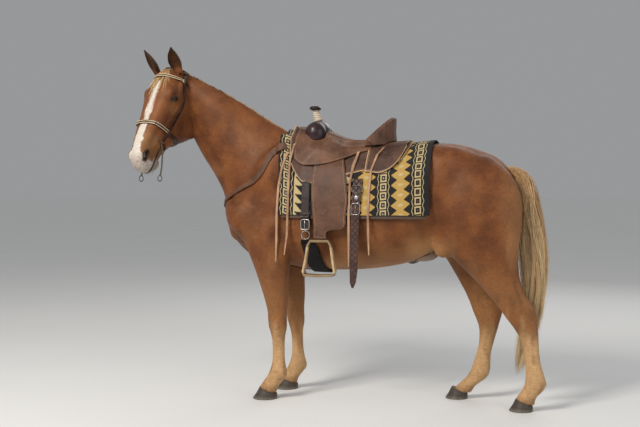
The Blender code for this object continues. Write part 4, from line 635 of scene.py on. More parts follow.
seam = [v.index for v in skin.data.vertices
        if body_tree.find_nearest(v.co, 0.020)[0] and head_tree.find_nearest(v.co, 0.020)[0]]
only(skin)
group = skin.vertex_groups.new(name="throat")
group.add(seam, 1.0, "REPLACE")
smooth = skin.modifiers.new("throat", "SMOOTH")
smooth.factor = 0.5
smooth.iterations = 20
smooth.vertex_group = "throat"
bpy.ops.object.modifier_apply(modifier=smooth.name)
SKIN_TRIANGLES = 190000
fewer = skin.modifiers.new("fewer", "DECIMATE")
fewer.ratio = SKIN_TRIANGLES / sum(len(p.vertices) - 2 for p in skin.data.polygons)
bpy.ops.object.modifier_apply(modifier=fewer.name)
for polygon in skin.data.polygons:
    polygon.use_smooth = True
FLESH = ["torso", "neck", "head", "ear_left", "ear_right", "foreleg_left", "foreleg_right",
         "hindleg_left", "hindleg_right"]
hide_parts(*FLESH)
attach(skin, "root")
skin_tree = tree_of(skin)
print("skin:", sum(len(p.vertices) - 2 for p in skin.data.polygons), "triangles,", len(seam), "in the throat's seam")

# %% [markdown]
# ## Markings and painted light
# The horse is a sorrel with a flaxen tail: red-brown on the back, golden low on the flank and belly, sandy
# on the lower legs, and white on the face. Skin, tufts and locks have to agree, so one function gives each
# point of the body its shares of white, pale, sandy, dark and pink, from the place alone. The dark share
# also holds painted shade in the mouth's line and the nostrils and a painted lid shadow round each eye, and
# the pale share holds a painted highlight on each cheek bone. The shares go into attributes of the mesh,
# and the coat's material mixes its colours by them.

# %% Shares of each colour at a point
rng = np.random.default_rng(41)


def waves(points, size, seed):
    """Soft, broken noise between -1 and 1 from a few turned sine waves."""
    draw = np.random.default_rng(seed)
    total = np.zeros(len(points))
    for k in range(7):
        way = draw.normal(size=3)
        way /= np.linalg.norm(way)
        total += np.sin(points @ way * (6.283 / size) * draw.uniform(0.6, 1.6) + draw.uniform(0, 6.283))
    return total / 3.2


def markings_and_painted_light(points):
    """White, pale, sandy, dark and pink shares at each point; dark includes painted shade in the mouth, the nostrils
    and round the eyes, and pale a painted highlight on the cheek bones.
    """
    points = np.asarray(points, float)
    face = in_head(points)
    at = in_body(points)
    near_head = soft(np.linalg.norm(face - np.array([0.30, 0, -0.12]), axis=1), 0.50, 0.44)
    on_head = near_head * (face[:, 0] > -0.02)
    edge = waves(points, 0.030, 3) * 0.0035 + waves(points, 0.09, 4) * 0.004
    x, y, z = face[:, 0], np.abs(face[:, 1]), face[:, 2]
    half = np.interp(x, [0.085, 0.125, 0.20, 0.30, 0.38, 0.45, 0.52, 0.565, 0.60, 0.66],
                     [0.000, 0.012, 0.024, 0.024, 0.024, 0.026, 0.029, 0.034, 0.060, 0.100])
    depth = np.interp(x, [0.1, 0.45, 0.56, 0.60, 0.66], [-0.075, -0.060, -0.075, -0.140, -0.20])
    white = soft(y + edge, half + 0.004, half - 0.004) * soft(z + edge, depth - 0.012, depth + 0.006)
    white *= on_head * soft(x + edge, 0.085, 0.100)
    lip = on_head * soft(x + edge * 2, 0.585, 0.615)
    chin_white = on_head * soft(x + edge * 2, 0.535, 0.575) * soft(z, -0.105, -0.130)
    white = np.maximum(white, np.maximum(lip, 0.80 * chin_white))
    freckle = waves(points, 0.028, 17)
    pink = on_head * soft(x, 0.570, 0.625) * (0.45 + 0.35 * soft(freckle, 0.1, 0.9))
    mouth = [(0.505, 0.058, -0.122), (0.560, 0.056, -0.132), (0.610, 0.048, -0.140), (0.640, 0.032, -0.144),
             (0.655, 0.000, -0.146)]
    halves = np.column_stack([x, y, z])
    # The dark along the mouth's line and in the nostrils is painted shade in that crease and those openings.
    dark = on_head * soft(along_line(halves, mouth), 0.015, 0.004)
    dark = np.maximum(dark, on_head * soft(along_line(halves, NOSTRIL), 0.028, 0.014))
    chin = on_head * soft(x, 0.50, 0.56) * soft(z, -0.120, -0.145)
    around = on_head * soft(x, 0.46, 0.56) * soft(x, 0.63, 0.60) * (1 - white)
    dark = np.maximum(dark, np.maximum(chin * 0.38, around * 0.30))
    # The near-black ring round each eye is dark lid skin and also a painted shadow of the lids.
    for side in (1, -1):
        axes = np.array([v for v in eye_axes(side)])
        lid = (points - np.array(head_point(*side_of(EYE_AT, side)))) @ axes.T
        rim = np.hypot(lid[:, 0] / 0.027, lid[:, 1] / 0.0165)
        dark = np.maximum(dark, on_head * (lid[:, 2] > 0) * soft(rim, 1.25, 0.85) * 0.92)
    for side in (1, -1):
        root, up, front, across = ear_frames[side]
        rel = points - np.array(root)
        share = rel @ np.array(up) / EAR_LENGTH
        near = np.linalg.norm(rel - np.outer(share * EAR_LENGTH, np.array(up)), axis=1) < 0.060
        on_ear = near * (share > 0.16) * (share < 1.1)
        rim = soft(np.abs(rel @ np.array(across)), 0.012, 0.034)
        dark = np.maximum(dark, on_ear * (0.50 + 0.35 * rim + 0.5 * soft(share, 0.60, 0.95)).clip(0, 1))
    s, left, height = at[:, 0], np.abs(at[:, 1]), at[:, 2]
    wide = waves(points, 0.30, 5)
    belly = soft(height + wide * 0.04, 0.90, 0.76) * soft(s, 0.15, 0.35) * soft(s, 1.10, 0.90)
    flank = soft(np.hypot((s - 0.900) / 0.16, (height + wide * 0.02 - 0.880) / 0.13), 1.0, 0.15)
    buttock = soft(s, 1.28, 1.42) * soft(height, 0.75, 0.95) * 0.45
    inner = soft(left, 0.10, 0.03) * soft(height, 1.00, 0.80) * soft(s, 0.50, 0.70)
    pale = np.clip(0.45 * belly + 0.95 * flank + 0.5 * inner + buttock, 0, 1) * (1 - on_head)
    glow = 0.30 * soft(height + wide * 0.08, 1.15, 0.85) * soft(waves(points, 0.22, 31), -0.3, 0.9)
    pale = np.clip(pale + glow * (1 - on_head), 0, 1)
    # cheek is golden coat on the lower face towards the muzzle, plus a painted highlight on the cheek bone under each
    # eye.
    cheek = on_head * (1 - white) * (0.45 * soft(x + edge, 0.40, 0.50) + 0.30 * soft(
        np.hypot((x - 0.245) / 0.05, (z + 0.075) / 0.04), 1.2, 0.4))
    pale = np.maximum(pale, cheek)
    throat = soft(np.linalg.norm(face - np.array([0.16, 0.0, -0.36]), axis=1), 0.16, 0.04)
    pale = np.maximum(pale, 0.35 * throat)
    streak = waves(points * np.array([1.0, 1.0, 0.35]), 0.055, 12)
    fore = soft(height + wide * 0.03 + streak * 0.04, 0.48, 0.27) * (s < 0.40)
    hind = soft(height + wide * 0.03 + streak * 0.05, 0.52, 0.29) * (s > 0.55)
    legs_glow = soft(height, 0.95, 0.50) * (0.42 + 0.14 * wide)
    sandy = np.clip(fore + hind, 0, 1)
    pale = np.maximum(pale, legs_glow * (1 - sandy))
    mottle = soft(waves(points * np.array([1.0, 1.0, 0.35]), 0.075, 8) + 0.25 * waves(points, 0.03, 9), 0.45, 1.2)
    knees = soft(np.abs(height - 0.455), 0.085, 0.01) * (s < 0.40) * soft(streak, -0.2, 0.7)
    hocks = soft(np.abs(height - 0.575), 0.120, 0.02) * (s > 0.55) * soft(streak, -0.1, 0.7)
    red = np.clip(0.50 * mottle * sandy + 0.65 * knees + 0.80 * hocks, 0, 0.9)
    low_dark = soft(height, 0.10, 0.05) * 0.35
    sandy = sandy * (1 - red * 0.75) * (1 - low_dark)
    dark = np.maximum(dark, low_dark * 0.4 + red * 0.22 * (knees + hocks))
    return {"white": white, "pale": pale, "sandy": sandy, "dark": np.clip(dark, 0, 1), "pink": pink * white}


def mark(obj, points=None):
    """Store the shares on a mesh. points are where they are read, and the vertices' own places if left out."""
    where = coordinates(obj.data) if points is None else points
    for name, values in markings_and_painted_light(where).items():
        store = obj.data.attributes.new(name, "FLOAT", "POINT")
        store.data.foreach_set("value", values.astype(np.float32))


mark(skin)
print("white on", int((markings_and_painted_light(coordinates(skin.data))["white"] > 0.5).sum()), "points of the skin")

# %% [markdown]
# ## The coat's material
# Close hair shines along its lie and scatters at its edges. Three things make that here: a fine streaked
# bump that is long one way and short the other, a sheen, and a little change of colour from one patch of
# hair to the next. The streaks and patches are wanted on the skin, the tufts and the long hair, each at
# its own scale, so they are a node group with inputs.

# %% Node helpers
def node(tree, kind, **values):
    """Add a node, with its settings and the values of its inputs by name."""
    made = tree.nodes.new(kind)
    for key, value in values.items():
        if hasattr(made, key) and key not in made.inputs:
            setattr(made, key, value)
        else:
            made.inputs[key].default_value = value
    return made


def link(tree, out, into):
    tree.links.new(out, into)


def group_tree(name, inputs, outputs):
    """A shader node group with named float, colour or vector sockets."""
    tree = bpy.data.node_groups.new(name, "ShaderNodeTree")
    for title, kind, value in inputs:
        socket = tree.interface.new_socket(name=title, in_out="INPUT", socket_type="NodeSocket" + kind)
        socket.default_value = value
    for title, kind in outputs:
        tree.interface.new_socket(name=title, in_out="OUTPUT", socket_type="NodeSocket" + kind)
    return tree, tree.nodes.new("NodeGroupInput"), tree.nodes.new("NodeGroupOutput")


def math_node(tree, operation, first, second=None, clamp=False):
    """A Math node of sockets or numbers. Returns its output."""
    made = tree.nodes.new("ShaderNodeMath")
    made.operation = operation
    made.use_clamp = clamp
    for i, value in enumerate((first, second)):
        if value is None:
            continue
        if isinstance(value, (int, float)):
            made.inputs[i].default_value = value
        else:
            link(tree, value, made.inputs[i])
    return made.outputs[0]


def mix_colour(tree, share, first, second, blend="MIX"):
    """Mix two colours, each a socket or a tuple, by a share."""
    made = tree.nodes.new("ShaderNodeMix")
    made.data_type = "RGBA"
    made.blend_type = blend
    for value, socket in ((share, made.inputs[0]), (first, made.inputs[6]), (second, made.inputs[7])):
        if isinstance(value, (int, float)):
            socket.default_value = value
        elif isinstance(value, tuple):
            socket.default_value = (*value, 1.0) if len(value) == 3 else value
        else:
            link(tree, value, socket)
    return made.outputs[2]


def noise(tree, vector, scale, detail=3.0, rough=0.55):
    made = node(tree, "ShaderNodeTexNoise", Scale=scale, Detail=detail, Roughness=rough)
    if vector is not None:
        link(tree, vector, made.inputs["Vector"])
    return made.outputs["Fac"]


def ramp(tree, value, low, high):
    """0 below low and 1 above high."""
    made = node(tree, "ShaderNodeMapRange", interpolation_type="SMOOTHSTEP")
    made.inputs["From Min"].default_value = low
    made.inputs["From Max"].default_value = high
    link(tree, value, made.inputs["Value"])
    return made.outputs[0]


def object_place(tree, scale=(1, 1, 1), turn=(0, 0, 0)):
    """Object coordinates, stretched and turned."""
    coordinate = tree.nodes.new("ShaderNodeTexCoord")
    mapping = tree.nodes.new("ShaderNodeMapping")
    mapping.inputs["Scale"].default_value = scale
    mapping.inputs["Rotation"].default_value = turn
    link(tree, coordinate.outputs["Object"], mapping.inputs["Vector"])
    return mapping.outputs["Vector"]


def attribute(tree, name, out="Fac"):
    made = tree.nodes.new("ShaderNodeAttribute")
    made.attribute_name = name
    return made.outputs[out]


def new_material(name, **values):
    """A Principled material. values are its sockets by name."""
    material = bpy.data.materials.new(name)
    material.use_nodes = True
    shader = material.node_tree.nodes["Principled BSDF"]
    for key, value in values.items():
        shader.inputs[key.replace("_", " ")].default_value = value
    return material, material.node_tree, shader


def dress(obj, material):
    """Give the whole object one material."""
    obj.data.materials.clear()
    obj.data.materials.append(material)


def bumped(tree, shader, height, strength, distance):
    made = node(tree, "ShaderNodeBump", Strength=strength, Distance=distance)
    link(tree, height, made.inputs["Height"])
    link(tree, made.outputs["Normal"], shader.inputs["Normal"])


# %% The hair group and the coat
hair_group, given, result = group_tree("hair lie", [("Fineness", "Float", 300.0), ("Length", "Float", 0.2),
                                                    ("Patch Size", "Float", 14.0)],
                                       [("Streaks", "Float"), ("Patches", "Float"), ("Depth", "Float")])
place = hair_group.nodes.new("ShaderNodeTexCoord").outputs["Object"]
stretch = hair_group.nodes.new("ShaderNodeCombineXYZ")
link(hair_group, math_node(hair_group, "MULTIPLY", given.outputs["Length"], 1.0), stretch.inputs[0])
stretch.inputs[1].default_value = 1.0
link(hair_group, math_node(hair_group, "MULTIPLY", given.outputs["Length"], 1.8), stretch.inputs[2])
laid = node(hair_group, "ShaderNodeVectorMath", operation="MULTIPLY")
link(hair_group, place, laid.inputs[0])
link(hair_group, stretch.outputs[0], laid.inputs[1])
fine = hair_group.nodes.new("ShaderNodeTexNoise")
fine.inputs["Detail"].default_value = 2.0
fine.inputs["Distortion"].default_value = 0.6
link(hair_group, laid.outputs[0], fine.inputs["Vector"])
link(hair_group, given.outputs["Fineness"], fine.inputs["Scale"])
patch = hair_group.nodes.new("ShaderNodeTexNoise")
patch.inputs["Detail"].default_value = 4.0
link(hair_group, place, patch.inputs["Vector"])
link(hair_group, given.outputs["Patch Size"], patch.inputs["Scale"])
link(hair_group, ramp(hair_group, fine.outputs["Fac"], 0.30, 0.70), result.inputs["Streaks"])
link(hair_group, ramp(hair_group, patch.outputs["Fac"], 0.30, 0.70), result.inputs["Patches"])
depth = math_node(hair_group, "ADD", math_node(hair_group, "MULTIPLY", fine.outputs["Fac"], 0.8),
                  math_node(hair_group, "MULTIPLY", patch.outputs["Fac"], 0.5))
link(hair_group, depth, result.inputs["Depth"])


def place_group(tree, group, **values):
    made = tree.nodes.new("ShaderNodeGroup")
    made.node_tree = group
    for key, value in values.items():
        made.inputs[key.replace("_", " ")].default_value = value
    return made


RED = (0.186, 0.060, 0.017)
DEEP_RED = (0.104, 0.031, 0.010)
GOLD = (0.375, 0.182, 0.070)
SAND = (0.510, 0.310, 0.150)
WHITE = (0.600, 0.550, 0.490)
PINK_GREY = (0.250, 0.190, 0.165)
DARK = (0.030, 0.016, 0.011)


def coat_material(name, fineness, length, depth):
    material, tree, shader = new_material(name, Roughness=0.50, Sheen_Weight=0.07, Sheen_Roughness=0.40,
                                          Specular_IOR_Level=0.36)
    shader.inputs["Sheen Tint"].default_value = (0.95, 0.70, 0.50, 1)
    shader.inputs["Specular Tint"].default_value = (1.0, 0.80, 0.62, 1)
    hair = place_group(tree, hair_group, Fineness=fineness, Length=length, Patch_Size=9.0)
    back = mix_colour(tree, hair.outputs["Patches"], DEEP_RED, RED)
    base = mix_colour(tree, attribute(tree, "pale"), back, GOLD)
    base = mix_colour(tree, attribute(tree, "sandy"), base, SAND)
    base = mix_colour(tree, attribute(tree, "white"), base, WHITE)
    base = mix_colour(tree, attribute(tree, "pink"), base, PINK_GREY)
    base = mix_colour(tree, attribute(tree, "dark"), base, DARK)
    streaked = mix_colour(tree, hair.outputs["Streaks"], (0.82, 0.80, 0.78), (1.05, 1.05, 1.05))
    link(tree, mix_colour(tree, 1.0, base, streaked, "MULTIPLY"), shader.inputs["Base Color"])
    rough = math_node(tree, "ADD", math_node(tree, "MULTIPLY", hair.outputs["Streaks"], 0.16), 0.50)
    link(tree, rough, shader.inputs["Roughness"])
    bumped(tree, shader, hair.outputs["Depth"], 0.35, depth)
    return material


coat_look = coat_material("sorrel coat", 260.0, 0.22, 0.0016)
dress(skin, coat_look)
print("coat material has", len(coat_look.node_tree.nodes), "nodes")

# %% [markdown]
# ## Eyes
# A horse's eye is large and dark, with a brown iris and a pupil that is an oval lying level. The eye is
# a sphere primitive, its front drawn out a little to a cornea. Its points keep how far they lie along and
# across the slit, so the material can place iris and pupil in the eye itself.

# %% Eyes
eye_look, tree, shader = new_material("eye", Roughness=0.08, Specular_IOR_Level=0.20)
shader.inputs["Coat Weight"].default_value = 0.2
shader.inputs["Coat Roughness"].default_value = 0.02
slit_way = math_node(tree, "DIVIDE", attribute(tree, "along_slit"), 0.0078)
cross_way = math_node(tree, "DIVIDE", attribute(tree, "across_slit"), 0.0042)
oval = math_node(tree, "SQRT", math_node(tree, "ADD", math_node(tree, "MULTIPLY", slit_way, slit_way),
                                         math_node(tree, "MULTIPLY", cross_way, cross_way)))
ring = math_node(tree, "SQRT", math_node(
    tree, "ADD", math_node(tree, "MULTIPLY", attribute(tree, "along_slit"), attribute(tree, "along_slit")),
    math_node(tree, "MULTIPLY", attribute(tree, "across_slit"), attribute(tree, "across_slit"))))
iris = mix_colour(tree, noise(tree, object_place(tree), 900.0), (0.016, 0.007, 0.003), (0.040, 0.017, 0.007))
iris = mix_colour(tree, ramp(tree, oval, 1.15, 0.90), iris, (0.004, 0.004, 0.006))
link(tree, mix_colour(tree, ramp(tree, ring, 0.0125, 0.0150), iris, (0.020, 0.012, 0.009)),
     shader.inputs["Base Color"])

LID_TURNS, LID_STEPS = 72, 8
for side, node_name in ((1, "eye_left"), (-1, "eye_right")):
    bpy.ops.mesh.primitive_uv_sphere_add(segments=48, ring_count=32, radius=EYE_RADIUS - 0.0008)
    ball = bpy.context.object
    ball.name = "eyeball_" + node_name[4:]
    slit, across, out = eye_axes(side)
    co = coordinates(ball.data)
    turn = np.array([slit, across, out])
    swell = 1 + 0.05 * bump(np.linalg.norm(co[:, :2], axis=1) / 0.013) * (co[:, 2] > 0)
    for title, values in (("along_slit", co[:, 0]), ("across_slit", co[:, 1])):
        store = ball.data.attributes.new(title, "FLOAT", "POINT")
        store.data.foreach_set("value", np.where(co[:, 2] > 0, values, 0.03).astype(np.float32))
    set_coordinates(ball.data, (co * swell[:, None]) @ turn + np.array(head_point(*side_of(EYE_AT, side))))
    only(ball)
    bpy.ops.object.mode_set(mode="EDIT")
    bpy.ops.mesh.select_all(action="SELECT")
    bpy.ops.mesh.normals_make_consistent(inside=False)
    bpy.ops.object.mode_set(mode="OBJECT")
    bpy.ops.object.shade_smooth()
    dress(ball, eye_look)
    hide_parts(node_name)
    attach(ball, "root")
    bpy.ops.mesh.primitive_grid_add(x_subdivisions=LID_TURNS, y_subdivisions=LID_STEPS, size=1)
    lids = bpy.context.object
    lids.name = "eyelids_" + node_name[4:]
    flat = coordinates(lids.data) + 0.5
    angle, w = flat[:, 0] * 2 * math.pi, flat[:, 1]
    p, q = 0.0225 * np.cos(angle), np.sin(angle)
    q *= np.where(q > 0, 0.0128, 0.0094) * (1 - 0.35 * np.abs(np.cos(angle)) ** 3)
    spread = np.hypot(p, q)
    p, q = p * (1 + w * (0.0300 / spread - 1)), q * (1 + w * (0.0300 / spread - 1))
    spread = np.hypot(p, q)
    radius = EYE_RADIUS + np.interp(w, [0, 0.125, 0.25, 0.375, 0.55, 1.0],
                                    [0.0004, 0.0016, 0.0028, 0.0034, 0.0034, 0.0004])
    edge = np.minimum(spread, 0.0205)
    height = np.sqrt(radius ** 2 - edge ** 2) - 1.25 * (spread - edge)
    co = np.outer(p, slit) + np.outer(q * side, across) + np.outer(height, out)
    set_coordinates(lids.data, co + np.array(head_point(*side_of(EYE_AT, side))))
    only(lids)
    bpy.ops.object.mode_set(mode="EDIT")
    bpy.ops.mesh.select_all(action="SELECT")
    bpy.ops.mesh.remove_doubles(threshold=0.00005)
    bpy.ops.mesh.normals_make_consistent(inside=False)
    bpy.ops.object.mode_set(mode="OBJECT")
    if np.mean([face.normal.dot(out) for face in lids.data.polygons]) < 0:
        lids.data.flip_normals()
    bpy.ops.object.shade_smooth()
    mark(lids)
    dress(lids, coat_look)
    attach(lids, "root")
print("two eyeballs,", round(EYE_RADIUS * 2000), "mm across, and their lids")

# %% [markdown]
# ## Where a hair stands on the skin's map
# When the model is exported, each tuft takes its colour from one spot of a map. So each hair gets a tiny
# patch of that map, at the place of its root on an unwrap of the skin. Body, neck, head and legs are each
# unrolled like the skin of a cylinder, and lie side by side.

# %% Unwrap by parts of the body
def unwrap(points):
    """Places on the map, from 0 to 1, for points on the skin."""
    points = np.asarray(points, float)
    face, at = in_head(points), in_body(points)
    s, left, z = at.T
    uv = np.column_stack([0.02 + 0.46 * np.clip((s + 0.35) / 1.75, 0, 1),
                          0.02 + 0.46 * (np.arctan2(left, z - 1.12) / (2 * math.pi) + 0.5)])
    on_neck = (s < -0.10) & (z > 1.15)
    run = np.clip((z - 1.0) / 0.95, 0, 1)
    turn = np.arctan2(left, (s + 0.10 + 0.62 * run) * 0.8 + 0.05)
    uv[on_neck] = np.column_stack([0.52 + 0.46 * run, 0.02 + 0.46 * (turn / (2 * math.pi) + 0.5)])[on_neck]
    on_head = (np.linalg.norm(face - np.array([0.30, 0, -0.12]), axis=1) < 0.47) & (face[:, 0] > -0.25)
    around = np.arctan2(face[:, 1], face[:, 2] + 0.13) / (2 * math.pi) + 0.5
    uv[on_head] = np.column_stack([0.02 + 0.36 * np.clip((face[:, 0] + 0.25) / 0.95, 0, 1),
                                   0.52 + 0.46 * around])[on_head]
    for i, (name, (rows, side, step, reach)) in enumerate(LEGS.items()):
        middle = np.array([np.interp(z, [h[0] for h in sorted(rows)], [(h[1] + h[2]) / 2 for h in sorted(rows)])])[0]
        middle = middle + step * np.clip(1 - z / reach, 0, 1)
        on_leg = (z < (0.80 if rows is FORE_LEG else 0.88)) & (left * side > 0) & ((s > 0.5) == (rows is HIND_LEG))
        turn = np.arctan2(left * side - 0.15, s - middle) / (2 * math.pi) + 0.5
        uv[on_leg] = np.column_stack([0.41 + 0.145 * i + 0.13 * turn, 0.52 + 0.46 * np.clip(z / 0.9, 0, 1)])[on_leg]
    return uv


HAIR_PATCH = 0.003


def hairs(name, paths, widths, looks, flat=0.40, facing=None, tone=None, normals=None):
    """One mesh of tapered, three-sided hairs. paths is hair by ring by place."""
    paths = np.asarray(paths, float)
    count, steps = paths.shape[:2]
    run = np.gradient(paths, axis=1)
    run /= np.linalg.norm(run, axis=2, keepdims=True) + 1e-12
    if facing is None:
        facing = np.tile(np.array([0.0, -1.0, 0.0]), (count, 1))
    facing = np.repeat(facing[:, None, :], steps, axis=1)
    across = np.cross(run, facing)
    across /= np.linalg.norm(across, axis=2, keepdims=True) + 1e-12
    out = np.cross(across, run)
    share = np.linspace(0, 1, steps)
    taper = (0.70 + 0.30 * np.sin(math.pi * np.minimum(share * 1.6, 1))) * (1 - share ** 3 * 0.9)
    half = (widths[:, None] * taper[None, :] / 2)[:, :-1, None]
    body_paths = paths[:, :-1]
    corners = np.stack([body_paths + across[:, :-1] * half, body_paths - across[:, :-1] * half,
                        body_paths + out[:, :-1] * half * 2 * flat], axis=2)
    per_hair = 3 * (steps - 1) + 1
    verts = np.concatenate([corners.reshape(count, -1, 3), paths[:, -1:, :]], axis=1).reshape(-1, 3)
    one = [(0, 2, 1)]
    for i in range(steps - 2):
        a, b = 3 * i, 3 * i + 3
        for k in range(3):
            n = (k + 1) % 3
            one += [(a + k, a + n, b + n), (a + k, b + n, b + k)]
    a = 3 * (steps - 2)
    one += [(a + k, a + (k + 1) % 3, per_hair - 1) for k in range(3)]
    one = np.array(one)
    faces = (one[None] + (np.arange(count) * per_hair)[:, None, None]).reshape(-1, 3)
    mesh = bpy.data.meshes.new(name)
    mesh.from_pydata(verts.tolist(), [], faces.tolist())
    obj = bpy.data.objects.new(name, mesh)
    scene.collection.objects.link(obj)
    layer = mesh.uv_layers.new(name="OFBake")
    root = unwrap(paths[:, 0])
    ring_of = np.append(np.repeat(np.arange(steps - 1), 3), steps - 1)
    corner_of = np.append(np.tile(np.arange(3), steps - 1), 1)
    small = np.column_stack([corner_of / 2 * HAIR_PATCH, ring_of / (steps - 1) * HAIR_PATCH])
    spots = (root[:, None, :] + small[None] - HAIR_PATCH / 2).reshape(-1, 2)
    layer.data.foreach_set("uv", spots[faces.ravel()].astype(np.float32).ravel())
    along = mesh.attributes.new("along", "FLOAT", "POINT")
    along.data.foreach_set("value", np.tile(ring_of / (steps - 1), count).astype(np.float32))
    tones = rng.random(count) if tone is None else tone
    store = mesh.attributes.new("tone", "FLOAT", "POINT")
    store.data.foreach_set("value", np.repeat(tones, per_hair).astype(np.float32))
    for polygon in mesh.polygons:
        polygon.use_smooth = True
    if normals is not None:
        mesh.normals_split_custom_set_from_vertices(np.repeat(normals, per_hair, axis=0).tolist())
    dress(obj, looks)
    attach(obj, "root")
    return obj, np.repeat(paths[:, 0], per_hair, axis=0)


# %% [markdown]
# ## Short coat
# The summer coat lies flat, so most of it is the bump of the skin. What shows from the side are its ends:
# on the jaw, the fetlocks, the belly's middle line, the coronets and all along the outline. Thousands of
# small tufts follow the lie of the hair, back along the trunk, down the neck and legs, and get shorter on the face.

# %% Lie of the coat
def lie_of_coat(points, normal):
    """The way the hair points at each place, along the skin."""
    at, face = in_body(points), in_head(points)
    s, left, z = at.T
    way = np.tile(np.array([0.85, 0.0, -0.40]), (len(points), 1))
    neck_share = soft(s, 0.10, -0.15)[:, None] * soft(z, 1.05, 1.25)[:, None]
    way = way * (1 - neck_share) + np.array([0.55, 0.0, -0.80]) * neck_share
    leg_share = soft(z, 1.00, 0.80)[:, None]
    way = way * (1 - leg_share) + np.array([0.10, 0.0, -1.0]) * leg_share
    chest = soft(s, -0.20, -0.30)[:, None] * soft(z, 1.30, 1.10)[:, None]
    way = way * (1 - chest) + np.array([0.15, 0.0, -0.95]) * chest
    head_share = (np.linalg.norm(face - np.array([0.30, 0, -0.12]), axis=1) < 0.42)[:, None]
    way = np.where(head_share, np.array(FACE_X * 0.9 - FACE_Z * 0.15), way)
    way += 0.16 * np.column_stack([waves(points, 0.12, 21), waves(points, 0.15, 22), waves(points, 0.12, 23)])
    way -= normal * np.sum(way * normal, axis=1)[:, None]
    return way / (np.linalg.norm(way, axis=1)[:, None] + 1e-9)


def scatter(count, weight):
    """Places and normals spread over the skin, seeded, with a weight for each place."""
    mesh = skin.data
    mesh.calc_loop_triangles()
    corners = np.empty(len(mesh.loop_triangles) * 3, np.int32)
    mesh.loop_triangles.foreach_get("vertices", corners)
    corners = corners.reshape(-1, 3)
    co, normal = coordinates(mesh), normals_of(mesh)
    a, b, c = co[corners[:, 0]], co[corners[:, 1]], co[corners[:, 2]]
    area = np.linalg.norm(np.cross(b - a, c - a), axis=1) / 2
    share = area * weight((a + b + c) / 3)
    picked = rng.choice(len(corners), size=count, p=share / share.sum())
    r, t = rng.random(count), rng.random(count)
    flip = r + t > 1
    r, t = np.where(flip, 1 - r, r), np.where(flip, 1 - t, t)
    place = a[picked] * (1 - r - t)[:, None] + b[picked] * r[:, None] + c[picked] * t[:, None]
    corner = normal[corners[picked]]
    lean_out = corner[:, 0] * (1 - r - t)[:, None] + corner[:, 1] * r[:, None] + corner[:, 2] * t[:, None]
    return place, lean_out / np.linalg.norm(lean_out, axis=1)[:, None]


tack_tree = tree_of(*[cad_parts[n] for n in ("felt_liner", "blanket", "saddle_swell", "saddle_seat")])


def bare(points, normal):
    """True where nothing lies on the skin and no eye or nostril opens."""
    face = in_head(points)
    halves = np.column_stack([face[:, 0], np.abs(face[:, 1]), face[:, 2]])
    free = (np.linalg.norm(halves - np.array([0.197, 0.117, -0.050]), axis=1) > 0.026)
    free &= along_line(halves, NOSTRIL) > 0.016
    free &= points[:, 2] > 0.040
    top = in_body(points)
    under = (top[:, 0] > 0.02) & (top[:, 0] < 0.98) & (top[:, 2] > 0.98)
    for i in np.flatnonzero(free & under):
        if tack_tree.ray_cast(Vector(points[i]), Vector(normal[i]), 0.06)[0] is not None:
            free[i] = False
    return free


def coat_piece(name, count, weight, length_of, width):
    points, normal = scatter(count, weight)
    keep = bare(points, normal)
    points, normal = points[keep], normal[keep]
    way = lie_of_coat(points, normal)
    length = (length_of(points) * rng.uniform(0.7, 1.25, len(points)))[:, None]
    lift = (0.10 + 0.08 * rng.random(len(points)))[:, None]
    root = points - normal * 0.0008
    paths = np.stack([root, root + way * length * 0.55 + normal * (length * lift * 0.75 + 0.0006),
                      points + way * length + normal * length * lift], axis=1)
    obj, roots = hairs(name, paths, np.full(len(points), width), coat_look, 0.06, normal, None, normal)
    mark(obj, roots)
    print(name, len(points), "tufts,", len(obj.data.polygons), "triangles")
    return obj


def in_face(points):
    return np.linalg.norm(in_head(points) - np.array([0.30, 0, -0.12]), axis=1) < 0.46


def face_length(points):
    face = in_head(points)
    jaw = soft(face[:, 2], -0.20, -0.30)
    return 0.0042 + 0.0075 * jaw + 0.004 * soft(face[:, 0], 0.06, 0.00)


def trunk_length(points):
    at = in_body(points)
    belly = soft(np.abs(at[:, 1]), 0.05, 0.0) * soft(at[:, 2], 0.90, 0.80)
    return 0.0105 + 0.010 * belly


def leg_length(points):
    at = in_body(points)
    ankle = soft(np.abs(at[:, 2] - 0.15), 0.07, 0.01)
    crown = soft(at[:, 2], 0.085, 0.050)
    return 0.0075 + 0.0080 * ankle + 0.0060 * crown


small = 1.0
coat_piece("coat_head", int(17000 * small), lambda p: in_face(p) * 1.0, face_length, 0.0016)
coat_piece("coat_trunk", int(24000 * small), lambda p: (~in_face(p)) * (p[:, 2] > 0.86), trunk_length, 0.0036)
coat_piece("coat_legs", int(17000 * small), lambda p: (p[:, 2] <= 0.86) * 1.0, leg_length, 0.0026)

# %% [markdown]
# ## Tail, mane and forelock
# Long hair gathers in wisps: the hairs of a wisp leave the skin apart and meet at its tip. Each wisp has a
# middle line, which hangs in a slow wave, and its hairs keep their own distance from it and lose that
# distance on the way down. The tail's wisps leave the dock one below another, all round.

